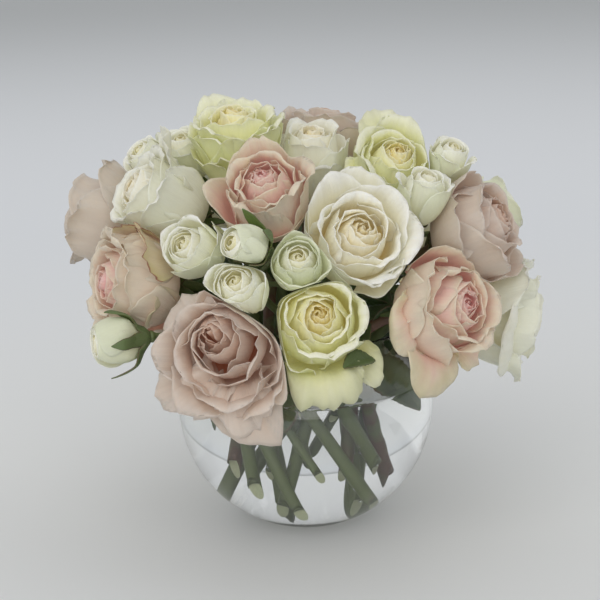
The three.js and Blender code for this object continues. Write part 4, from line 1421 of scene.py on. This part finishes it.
@dataclass
class Flower:
    """Builds a bloom's petals.

    Attributes:
        bloom: The bloom.
        crowd: The room it has.
        number: Its place in the list of blooms, which seeds its petals.
        yielding: The angle from a guard within which an outer petal stands back.
        outer: The place from the heart beyond which a petal is an outer one.
        held: The place that it stands back to.
        rim: A petal's thickness near its rim.
        swell: How much thicker it is at its foot.
    """

    bloom: Bloom
    crowd: Crowd
    number: int
    yielding: float = 50.0
    outer: float = 0.85
    held: float = 0.82
    rim: float = 0.22
    swell: float = 0.4

    def petals(self) -> list[Petal]:
        """The petals, outermost first, each turned by the golden angle from the one before.

        Returns:
            Those of the rings, the extra ones in the heart and the guards.
        """
        bloom, r, h = self.bloom, self.bloom.radius, self.bloom.height
        plan = UNFOLDINGS[bloom.form]
        rng = np.random.default_rng(PETAL_SEED + self.number)
        calm = bloom.form is Form.BUD
        places = [t for count, first, last in plan.rings for t in np.linspace(first, last, count)]
        sharpness, wave = RIMS[bloom.variety]
        sharp = sharpness + 1.2 * bloom.fade
        made = []
        for k in range(len(places) + bloom.frill):
            j, i, seed, m = rng.random(4)
            extra = k >= len(places)
            t = 0.06 + 0.34 * m if extra else float(places[k])
            angle = bloom.spin + k * GOLDEN_ANGLE + 14 * (i - 0.5)
            for guard in bloom.guards:
                apart = abs((angle - guard.angle + 180) % 360 - 180)
                if t > self.outer and apart < self.yielding:
                    t = self.held
            lift = 1 + (0.1 if extra else 0.09) * (j - 0.5)
            spread = 1 + (0.5 * (i - 0.5) if extra else 0.14 * (m - 0.5) * t)
            made.append(Petal(
                *plan.guides(t, bloom.size, spread, lift),
                lip_length=along(plan.lip, t) * h * (0.75 + 0.5 * i),
                tip_angle=along(plan.tip, t) + 50 * (j - 0.5) * t,
                side_curl=(35 if calm else 55) * t,
                angle=angle,
                half_width=along(plan.half, t) * r * (0.55 if extra else 1.0),
                layer=t,
                curl=2 + 1.6 * t,
                tuck=0.035 * r,
                drop=0.28 + (0.08 if calm else 0.2) * t,
                point=3.2 - (3.2 - sharp) * t,
                roll=(0.03 if calm else 0.08) * r * t * (0.3 + 1.3 * seed),
                ruffle=r * (0.007 + (0.008 if calm else wave) * t),
                seed=seed,
            ))
        for n, guard in enumerate(bloom.guards):
            made.append(Petal(
                root=(0.08 * r, 0.05 * h),
                guide1=(0.58 * r, -0.03 * h),
                guide2=((guard.reach - 0.56) * r, (guard.level - 0.12) * h),
                lip_start=((guard.reach - 0.4) * r, guard.level * h),
                lip_length=0.5 * r, tip_angle=guard.tip, side_curl=24, curl=1.0,
                angle=guard.angle, half_width=0, layer=1.0,
                swing=math.degrees(guard.width / max(guard.reach - 0.38, 0.62)),
                drop=guard.drop or 0.62 - 0.09 * guard.point, point=guard.point,
                aside=guard.aside, age=guard.age, roll=0.02 * r, ruffle=guard.ruffle * r,
                seed=0.2 + 0.5 * n,
            ))
        return made

    def grid_size(self, petal: Petal) -> tuple[int, int]:
        """How fine a petal is: coarser on small blooms and deep in the heart.

        Args:
            petal: The petal.

        Returns:
            Points up it and across it.
        """
        if self.bloom.on_spray:
            return (13, 15) if petal.layer > 0.5 else (10, 11)
        if petal.swing:
            return 24, 33
        if petal.layer > 0.55:
            return 16, 26
        return (13, 16) if petal.layer > 0.26 else (10, 11)

    def skins(self) -> list[Skin]:
        """The petals as closed blades, thin at the rim, pressed into the bloom's room.

        Points stand closer together near the rims. A bud's petals are drawn in a little more.

        Returns:
            One blade for each petal.
        """
        made = []
        for petal in self.petals():
            rows, columns = self.grid_size(petal)
            s, c = np.linspace(0, 1, rows), np.linspace(-1, 1, columns)
            v, u = np.meshgrid(s * (1.4 - 0.4 * s), c * (1.25 - 0.25 * c * c), indexing="ij")
            thickness = self.rim + self.swell * (1 - v)
            thickness = thickness * (1 - 0.5 * smooth((np.abs(u) - 0.8) / 0.2))
            thickness = thickness * (1 - 0.45 * smooth((v - 0.9) / 0.1))
            local = petal.surface(u, v)
            shift = (1 - petal.layer) * np.array(self.bloom.lean)
            shift = (shift + petal.layer * np.array(self.bloom.sway)) * self.bloom.radius
            local[..., :2] += shift * smooth(v * 1.3)[..., None]
            grid = self.crowd.press(self.bloom, self.bloom.outward(local))
            if self.bloom.form is Form.BUD:
                distance = np.linalg.norm(grid - self.bloom.seat, axis=-1, keepdims=True)
                grid = grid + (self.bloom.middle - grid) * 0.12 * smooth((distance - 3) / 5)
            made.append(blade(grid[:, ::-1], thickness, u[:, ::-1], v).painted(
                layer=petal.layer, seed=petal.seed, guard=petal.age, fade=self.bloom.fade
            ))
        return made

    def build(self, material: bpy.types.Material) -> None:
        """Makes the bloom and puts it in its node's place.

        Args:
            material: The petals' finish.
        """
        node = ("spray_bloom_" if self.bloom.on_spray else "bloom_") + self.bloom.name
        piece = mesh_object(node.replace("bloom", "petals"), self.skins(), material)
        place(piece, self.bloom.variety.value, node)


# ---------------------------------------------------------------- stems and leaves


# The place along the neck, elevation and length of two leaves that every rose's stem has
NECK_LEAVES = ((0.24, 24, 33), (0.46, 33, 30))
# The base and the azimuth, elevation, roll and length of each leaf in the mouth of the bowl
MOUTH_LEAVES = (
    ((28, -26, 104), (70, -30, 30, 48)),
    ((20, -34, 108), (45, -22, -50, 27)),
    ((32, -10, 108), (95, -36, 10, 38)),
    ((14, -38, 104), (20, -34, 60, 30)),
    ((-2, -40, 88), (-96, -50, -60, 32)),
    ((-40, -36, 96), (-62, -58, 20, 30)),
    ((38, -86, 121), (-42, 8, -20, 24)),
    ((-22, -30, 104), (-70, -28, 40, 38)),
    ((4, 36, 106), (170, -30, 30, 34)),
    ((-34, 12, 106), (-100, -34, -30, 36)),
    ((34, 24, 106), (130, -34, -40, 34)),
    ((-46, -37, 121), (-52, 19, 25, 50)),
    ((-25, 2, 104), (170, 78, 0, 44)),
    ((40, 4, 103), (175, 78, 0, 44)),
)


@dataclass
class Greenery:
    """Stems with their hips, sepals and leaves.

    Attributes:
        crowd: The room that the sepals have.
        sides: Columns round a stem.
        slant: How far a cut end runs up one side, over the radius.
        teeth: How many a leaf has on each side.
        pleats: How many waves its side veins make.
        half_leaf: Half a leaf's width over its length.
        stalk: Half the width of its stalk.
        fold: How far its sides rise from the midrib, over their width.
        droop: How far its tip hangs, over its length.
        aside: The angle to one side, and then the other, that the leaves of a neck point.
        tilt: How far they roll that way.
    """

    crowd: Crowd
    sides: int = 14
    slant: float = 1.6
    teeth: int = 15
    pleats: int = 12
    half_leaf: float = 0.27
    stalk: float = 0.7
    fold: float = 0.35
    droop: float = 0.18
    aside: float = 46.0
    tilt: float = 35.0

    def stem(self, path: np.ndarray, radii: np.ndarray, seed: int, slant: float = 0.0) -> Skin:
        """A stem whose radius swells by a bell curve at three nodes, and a little in between.

        Args:
            path: Its middle line.
            radii: Its radius along it.
            seed: What its nodes follow.
            slant: How far its cut end runs up one side.

        Returns:
            The closed skin.
        """
        run = run_of(path)
        swell = 1 + 0.03 * np.sin(run / 17 + seed)
        for at in np.random.default_rng(seed).uniform(10, run[-1] * 0.8, 3):
            swell = swell + 0.16 * np.exp(-(((run - at) / 3.5) ** 2))
        facing = (path[0][0], path[0][1] - 12, 0) if slant else (1, 0, 0)
        return tube(path, radii * swell, self.sides, slant, facing)

    def neck_path(self, curve: Curve, bloom: Bloom, radius: float,
                  below: np.ndarray | None = None) -> tuple[np.ndarray, np.ndarray]:
        """The middle line and radii of a neck: its Bezier curve, then the rings of the hip.

        Args:
            curve: The neck.
            bloom: The bloom that it carries.
            radius: The stem's radius.
            below: The points of the stem below the neck.

        Returns:
            Points and radii, in order from the foot.
        """
        wide, length = bloom.hip
        on_neck = bezier(curve, np.linspace(0, 0.97, 26))
        on_hip = bloom.seat + (HIP_PLACES * length)[:, None] * bloom.frame[2]
        lower = np.empty((0, 3)) if below is None else below
        slim = np.full(len(lower) + len(on_neck), radius)
        return np.concatenate([lower, on_neck, on_hip]), np.concatenate([slim, HIP_RADII * wide])

    def sepals(self, bloom: Bloom) -> list[Skin]:
        """Five pointed sepals: on a bud they follow it and flare, on an open bloom they lean back.

        On a bud the middle line is the meridian of an outer petal, eased out to the tip by a
        square, and otherwise it bows by an even turn. The half width falls off towards the tip,
        with small lobes by a sine.

        Args:
            bloom: The bloom over them.

        Returns:
            Closed blades.
        """
        v, u = np.meshgrid(np.linspace(0, 1, 15), np.linspace(-1, 1, 7), indexing="ij")
        made = []
        for i in range(5):
            turn = math.radians(bloom.spin + i * 72 + 20)
            if bloom.form is Form.BUD:
                plan, t = UNFOLDINGS[Form.BUD], 0.9
                petal = Petal(
                    *plan.guides(t, bloom.size), lip_length=along(plan.lip, t) * bloom.height,
                    tip_angle=along(plan.tip, t), side_curl=50, angle=0, half_width=0, layer=t,
                )
                climb = 0.1 + 0.56 * v
                rho, z, _ = petal.meridian(np.zeros_like(v), climb)
                share = np.minimum(1, v / 0.3)
                off = 0.7 + 6.0 * v * v * (0.75 + 0.5 * math.sin(7.1 * i))
                rho = 1.7 + (rho + off - 1.7) * share
                z = -1.2 + (z + 1.2) * share - 3.0 * v**3
                half = 5.6 * (1 - 0.2 * v - 0.75 * v * v) * (1 + 0.1 * np.sin(11 * v))
            else:
                length, lean = (13.0, -20) if bloom.on_spray else (21.0, -38)
                bow = math.radians(lean) * (0.4 + 0.9 * v)
                rho = 2.0 + (length - 2) * v * np.cos(bow)
                z = -1.3 + (length - 2) * v * np.sin(bow) + 2.5 * v**4
                half = (2.4 if bloom.on_spray else 3.3) * (1 - v) ** 0.8 * (
                    0.75 + 0.5 * smooth(v / 0.2) + 0.16 * np.sin(16 * v)
                )
            angle = turn + u * half / np.maximum(rho, 1.5)
            cupped = z + 0.7 * u * u * (1 - v)
            local = np.stack([rho * np.cos(angle), rho * np.sin(angle), cupped], -1)
            grid = self.crowd.press(bloom, bloom.outward(local))
            made.append(blade(grid[:, ::-1], 0.55, u[:, ::-1], v * 0.4).painted(
                foliage=1.0, young=0.3 + 0.7 * (bloom.form is Form.BUD)
            ))
        return made

    def leaf(self, base: np.ndarray, azimuth: float, elevation: float, roll: float,
             length: float) -> Skin:
        """A leaf: a toothed oval, folded on its midrib and drooping.

        The half width is a sine of the way out, a saw-tooth cuts its edge, it droops by a square,
        and its side veins quilt it by a sine.

        Args:
            base: Where it springs from its stem.
            azimuth: The direction of its midrib.
            elevation: How steeply that rises.
            roll: The turn about the midrib.
            length: From the stem to its tip.

        Returns:
            A closed blade.
        """
        ahead = towards(azimuth, elevation)
        level = unit(np.cross(UPWARD, ahead))
        over = np.cross(ahead, level)
        turn = math.radians(roll)
        side = level * math.cos(turn) + over * math.sin(turn)
        face = np.cross(ahead, side)
        v, u = np.meshgrid(np.linspace(0, 1, 46), np.linspace(-1, 1, 9), indexing="ij")
        blade_share = np.clip((v - 0.12) / 0.88, 0, 1)
        oval = np.sin(math.pi * blade_share**0.8) ** 0.85
        teeth = 1 + 0.09 * ((blade_share * self.teeth) % 1.0) * smooth((np.abs(u) - 0.6) / 0.4)
        half = self.half_leaf * length * oval * teeth + self.stalk
        quilt = 0.35 * np.sin((v * self.pleats - np.abs(u) * 3) * 2 * math.pi) * oval
        rise = self.fold * np.abs(u) * half - self.droop * length * v * v + quilt
        grid = (
            base + ahead * (length * v)[..., None] + side * (u * half)[..., None]
            + face * rise[..., None]
        )
        return blade(grid, 0.45, u, v).painted(foliage=1.0)

    def straight(self, slot: Slot) -> np.ndarray:
        """Points of the straight lower part of a stem, from its foot to just under its slot."""
        foot, mouth = slot_line(slot)
        return foot + np.linspace(0, 0.96, 22)[:, None] * (mouth - foot)

    def build_rose_stem(self, bloom: Bloom, material: bpy.types.Material, seed: int) -> None:
        """Makes a large rose's stem, hip, sepals and leaves in their node's place.

        Args:
            bloom: The rose.
            material: The stem's finish.
            seed: What its nodes and the sides of its leaves follow.
        """
        assert bloom.slot is not None
        curve = rose_neck(bloom)
        path, radii = self.neck_path(curve, bloom, ROSE_STEM, self.straight(bloom.slot))
        skins = [self.stem(path, radii, seed, self.slant)] + self.sepals(bloom)
        if bloom.leaf is not None:
            share, *pose = bloom.leaf
            skins.append(self.leaf(bezier(curve, np.array([share]))[0], *pose))
        outward = math.degrees(math.atan2(path[-1][0], -path[-1][1]))
        for i, (share, elevation, length) in enumerate(NECK_LEAVES):
            side = (-1) ** (i + seed)
            base = bezier(curve, np.array([share]))[0]
            azimuth = outward + self.aside * side
            skins.append(self.leaf(base, azimuth, elevation, -self.tilt * side, length))
        piece = mesh_object(f"green_{bloom.name}", skins, material)
        place(piece, "green_stems", f"stem_{bloom.name}")

    def build_spray_stem(self, group: SprayGroup, material: bpy.types.Material, seed: int) -> None:
        """Makes a branching stem with the hips and sepals of its heads in its node's place.

        Args:
            group: The spray.
            material: Its finish.
            seed: What the nodes of its stems follow.
        """
        curve, _, _ = trunk(group)
        path = np.concatenate([self.straight(group.slot), bezier(curve, np.linspace(0, 1, 18))])
        skins = [self.stem(path, np.full(len(path), SPRAY_STEM), seed, self.slant)]
        for one in group.heads:
            line, radii = self.neck_path(branch_neck(group, one), one, BRANCH)
            skins.append(self.stem(line, radii, seed + 1))
            skins.extend(self.sepals(one))
        piece = mesh_object(f"green_spray_{group.name}", skins, material)
        place(piece, "green_stems", f"spray_stem_{group.name}")

    def build_mouth_leaves(self, material: bpy.types.Material) -> None:
        """Makes the leaves among the stems in the mouth of the bowl and under the front blooms."""
        skins = [self.leaf(np.array(base, float), *pose) for base, pose in MOUTH_LEAVES]
        place(mesh_object("mouth_leaves", skins, material), "green_stems")


# ---------------------------------------------------------------- bowl and water


# The bubbles' index is that of air seen from the water
GLASS = ClearFinish("bowl_glass", tint=(0.985, 0.99, 0.99), index=1.5, wander=0.03)
WATER = ClearFinish("bowl_water", tint=(0.985, 0.995, 0.99), index=1.333)
AIR = ClearFinish("air_bubbles", tint=(1.0, 1.0, 1.0), index=0.75)


@dataclass
class Bowl:
    """The round bowl, the water in it and the air bubbles on the stems.

    Attributes:
        radius: The outside radius.
        wall: The glass wall's thickness.
        base: The radius of the flat base.
        floor: The height of the floor inside.
        rim: The height of the mouth.
        level: The height of the water.
        climb: How far the water's edge climbs the wall.
        turns: Columns round the bowl.
        steps: Points up its wall.
        heel: How far in from the base's edge the foot begins to round up.
        cove: How far in the rounding between wall and floor reaches.
        domes: How far the underside and the floor rise in the middle.
        bubbly: The stems with bubbles, by their places among the roses and then the sprays.
        bubbles: How many cling to each.
        bubble_places: The least and the most share of the way up its straight part.
        bubble_radii: The smallest and the largest.
    """

    radius: float = 76.0
    wall: float = 2.6
    base: float = 28.7
    floor: float = 6.0
    rim: float = 118.0
    level: float = 86.0
    climb: float = 1.5
    turns: int = 104
    steps: int = 60
    heel: float = 2.5
    cove: float = 10.0
    domes: Pair = (0.25, 0.8)
    bubbly: tuple[int, ...] = (0, 1, 2, 9, 10, 11, 14, 15, 18, 19)
    bubbles: int = 3
    bubble_places: Pair = (0.02, 0.6)
    bubble_radii: Pair = (0.35, 0.95)

    @property
    def centre(self) -> float:
        """The height of the sphere's centre."""
        return math.sqrt(self.radius**2 - self.base**2)

    def arc(self, radius: float, low: float, high: float) -> np.ndarray:
        """Points of a circle round the bowl's centre.

        Args:
            radius: The circle's radius.
            low: The height of the first point.
            high: The height of the last.

        Returns:
            Each one's radius and height.
        """
        ends = [math.acos((self.centre - z) / radius) for z in (low, high)]
        a = np.linspace(*ends, self.steps)
        return np.stack([radius * np.sin(a), self.centre - radius * np.cos(a)], -1)

    def glass_profile(self) -> np.ndarray:
        """The bowl's section: flat foot, sphere, rounded rim, inner sphere and rounded floor.

        Bezier curves round the foot and the floor, a half circle the rim, and the underside and
        the floor rise a little in the middle.

        Returns:
            Radius and height, from the middle of the underside round to the middle of the floor.
        """
        half = self.wall / 2
        outside = self.arc(self.radius, 1.2, self.rim - half)
        inside = self.arc(self.radius - self.wall, self.floor + 1.4, self.rim - half)[::-1]
        foot_turn = bezier(
            (np.array([self.base - self.heel, 0.0]), np.array([self.base - 0.6, 0.0]),
             outside[0] - [1.1, 0.45], outside[0]),
            np.linspace(0, 1, 8)[:-1],
        )
        across = np.linspace(0, self.base - self.heel, 12)[:-1]
        bottom = np.stack([across, self.domes[0] * (1 - smooth(across / 20))], -1)
        middle = (outside[-1] + inside[0]) / 2
        a = np.linspace(0.15, math.pi - 0.15, 9)
        bead = middle + np.stack([half * np.cos(a) * 0.95, half * np.sin(a) + 0.1], -1)
        hollow = inside[-1]
        floor = bezier(
            (hollow, hollow + [-1.6, -0.9], np.array([hollow[0] - 0.7 * self.cove, self.floor]),
             np.array([hollow[0] - self.cove, self.floor])),
            np.linspace(0, 1, 8)[1:],
        )
        across = np.linspace(floor[-1][0], 0, 10)[1:]
        flat = np.stack([across, self.floor + self.domes[1] * (1 - smooth(across / 24))], -1)
        return np.concatenate([bottom, foot_turn, outside, bead, inside, floor, flat])

    def water_profile(self) -> np.ndarray:
        """The water's section: a shade inside the glass, with a rim that climbs the wall.

        The surface stands at the level and rises by an exponential near the wall.

        Returns:
            Radius and height, from the middle of the underside round to the middle of the top.
        """
        inner = self.radius - self.wall + 0.12
        wall = self.arc(inner, self.floor + 1.6, self.level + self.climb)
        corner, reach = wall[0][0], wall[-1][0]
        bottom = np.array([
            [0.0, self.floor - 0.15], [self.base * 0.4, self.floor - 0.15],
            [corner - 6, self.floor - 0.1], [corner - 2.2, self.floor + 0.4],
        ])
        rho = reach - np.concatenate([np.linspace(0.12, 8, 16), np.linspace(12, reach, 12)])
        surface = np.stack([rho, self.level + self.climb * np.exp(-(reach - rho) / 1.7)], -1)
        return np.concatenate([bottom, wall, surface])

    def bubble_skins(self) -> list[Skin]:
        """Small air bubbles on the submerged stems: half circles turned about their axes.

        Returns:
            One ball for each bubble.
        """
        rng = np.random.default_rng(BUBBLE_SEED)
        made = []
        slots = [one.slot for one in ROSES + SPRAYS]
        for index in self.bubbly:
            foot, mouth = slot_line(slots[index])
            for _ in range(self.bubbles):
                share, turn = rng.uniform(*self.bubble_places), rng.uniform(0, 2 * math.pi)
                size = rng.uniform(*self.bubble_radii)
                around = np.array([math.cos(turn), math.sin(turn), 0]) * (ROSE_STEM + 0.5 * size)
                arc = np.linspace(-math.pi / 2, math.pi / 2, 9)
                ball = np.stack([np.cos(arc) * size, np.sin(arc) * size], -1)
                skin = turned(ball, 12)
                skin.points = skin.points + foot + share * (mouth - foot) + around
                made.append(skin)
        return made

    def build(self) -> None:
        """Makes the glass, the water and the bubbles, and puts them in their places."""
        glass = turned(self.glass_profile(), self.turns)
        place(mesh_object("glass_bowl", [glass], GLASS.material()), "bowl_glass", "bowl")
        water = turned(self.water_profile(), self.turns)
        place(mesh_object("bowl_of_water", [water], WATER.material()), "water", "water")
        place(mesh_object("air_bubbles", self.bubble_skins(), AIR.material()), "water")


# ---------------------------------------------------------------- studio


def stand(data: bpy.types.Camera | bpy.types.Light, side: np.ndarray, up: np.ndarray,
          back: np.ndarray, at: np.ndarray) -> bpy.types.Object:
    """Puts a camera or a lamp in the scene.

    Args:
        data: The camera or lamp.
        side: The direction to its right.
        up: The direction over it.
        back: The direction behind it.
        at: Its place in metres.

    Returns:
        The object.
    """
    thing = bpy.data.objects.new(data.name, data)
    columns = np.column_stack([side, up, back, at])
    thing.matrix_world = Matrix([*columns.tolist(), (0, 0, 0, 1)])
    bpy.context.scene.collection.objects.link(thing)
    return thing


@dataclass
class Studio:
    """The pale table, soft lights and the camera.

    Attributes:
        target: The point in the middle of the picture.
        distance: From the camera to it.
        elevation: How far the camera looks down.
        roll: How far the picture is turned.
        focal: The focal length over the picture's width.
        surround: The strength of the light from all round.
        sky: Its colour.
    """

    target: Point = (-1.9, 0.0, 132.0)
    distance: float = 1080.0
    elevation: float = 14.5
    roll: float = 1.4
    focal: float = 3.05
    surround: float = 0.5
    sky: Colour = (0.93, 0.95, 0.98)

    def camera(self) -> None:
        """Sets the camera at the photograph's viewing angle."""
        el, a = math.radians(self.elevation), math.radians(self.roll)
        forward = np.array([0, math.cos(el), -math.sin(el)])
        right, up = np.array([1.0, 0, 0]), np.array([0, math.sin(el), math.cos(el)])
        data = bpy.data.cameras.new("camera")
        data.lens = data.sensor_width * self.focal
        bpy.context.scene.camera = stand(
            data, right * math.cos(a) - up * math.sin(a), right * math.sin(a) + up * math.cos(a),
            -forward, (np.array(self.target) - self.distance * forward) * MM,
        )

    def lamp(self, name: str, azimuth: float, elevation: float, spread: float, power: float,
             colour: Colour) -> None:
        """Adds a far soft light.

        Args:
            name: Its name.
            azimuth: Where it shines from.
            elevation: How high it stands.
            spread: How wide it is, in degrees, which softens the shadows.
            power: Its strength.
            colour: Its colour.
        """
        data = bpy.data.lights.new(name, "SUN")
        data.angle = math.radians(spread)
        data.energy = power
        data.color = colour
        back = towards(azimuth, elevation)
        side = unit(np.cross(UPWARD, back))
        stand(data, side, np.cross(back, side), back, back)

    def table(self) -> None:
        """Lays a wide pale disc just under the bowl: rings of points round its middle."""
        sides, rings, level = 96, (300, 1500, 6000, 14000), -0.2
        angle, i = circle(sides), np.arange(sides)
        points = np.concatenate([[[0, 0, level]]] + [
            np.stack([r * np.cos(angle), r * np.sin(angle), np.full(sides, level)], -1)
            for r in rings
        ])
        centre = np.stack([np.zeros(sides, int), 1 + i, 1 + (i + 1) % sides], -1)
        skin = Skin(points, [centre, wall_faces(len(rings), sides, 1, True)[:, ::-1]])
        mesh_object("table_top", [skin], TableFinish().material())

    def world(self) -> None:
        """Surrounds the scene with a soft, slightly cool light."""
        world = bpy.data.worlds.new("surround")
        bpy.context.scene.world = world
        world.use_nodes = True
        background = world.node_tree.nodes["Background"]
        background.inputs[0].default_value = (*self.sky, 1)
        background.inputs[1].default_value = self.surround

    def build(self) -> None:
        """Makes the table, the lights and the camera."""
        bpy.context.scene.view_settings.view_transform = "Standard"
        self.camera()
        self.table()
        self.world()
        self.lamp("front_window", azimuth=-14, elevation=26, spread=80, power=1.3,
                  colour=(1.0, 0.98, 0.95))
        self.lamp("back_window", azimuth=165, elevation=34, spread=130, power=0.5,
                  colour=(1.0, 0.99, 0.97))


# The petals of each variety
PETALS = {
    Variety.DUSTY: PetalFinish(
        "dusty_petals", heart=(0.66, 0.42, 0.31), body=(0.61, 0.475, 0.395),
        edge=(0.67, 0.57, 0.49), foot=(0.54, 0.22, 0.12), outer=(0.6, 0.52, 0.44),
        guard=(0.63, 0.52, 0.43), flush=0.7, glow=(1.0, 0.75, 0.6),
    ),
    Variety.CREAM: PetalFinish(
        "cream_petals", heart=(0.9, 0.76, 0.42), body=(0.9, 0.86, 0.69), edge=(0.96, 0.95, 0.88),
        foot=(0.86, 0.66, 0.24), outer=(0.77, 0.78, 0.64), guard=(0.8, 0.78, 0.58), flush=0.8,
        glow=(1.0, 0.9, 0.7),
    ),
    Variety.BLUSH: PetalFinish(
        "blush_petals", heart=(0.86, 0.44, 0.43), body=(0.8, 0.52, 0.455), edge=(0.74, 0.69, 0.49),
        foot=(0.82, 0.34, 0.28), outer=(0.72, 0.63, 0.5), guard=(0.56, 0.49, 0.26), flush=0.75,
        band=0.68, glow=(1.0, 0.75, 0.65),
    ),
    Variety.LEMON: PetalFinish(
        "lemon_petals", heart=(0.86, 0.69, 0.25), body=(0.9, 0.88, 0.53), edge=(0.94, 0.93, 0.76),
        foot=(0.82, 0.7, 0.2), outer=(0.7, 0.73, 0.4), guard=(0.62, 0.62, 0.35), flush=0.75,
        glow=(1.0, 0.95, 0.6),
    ),
    Variety.IVORY: PetalFinish(
        "ivory_petals", heart=(0.86, 0.8, 0.48), body=(0.88, 0.87, 0.71), edge=(0.95, 0.95, 0.88),
        foot=(0.8, 0.75, 0.34), outer=(0.71, 0.74, 0.52), guard=(0.68, 0.72, 0.5), flush=0.75,
        glow=(1.0, 0.95, 0.75),
    ),
}


def main() -> None:
    """Builds the pieces in order: bowl and water, stems, blooms, then the studio."""
    logging.basicConfig(level=logging.INFO, format="%(message)s")
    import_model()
    crowd = Crowd()
    crowd.survey()
    Bowl().build()
    greens = Greenery(crowd)
    fresh = GreenFinish("fresh_stems").material()
    older = GreenFinish("older_stems", aged=0.9).material()
    for number, bloom in enumerate(ROSES):
        # Every fourth stem is an older one
        greens.build_rose_stem(bloom, older if number % 4 == 2 else fresh, number + 1)
    for number, group in enumerate(SPRAYS):
        greens.build_spray_stem(group, fresh, SPRAY_SEED + number)
    greens.build_mouth_leaves(older)
    finishes = {variety: finish.material() for variety, finish in PETALS.items()}
    for number, bloom in enumerate(BLOOMS):
        Flower(bloom, crowd, number).build(finishes[bloom.variety])
    Studio().build()


if __name__ == "__main__":
    main()
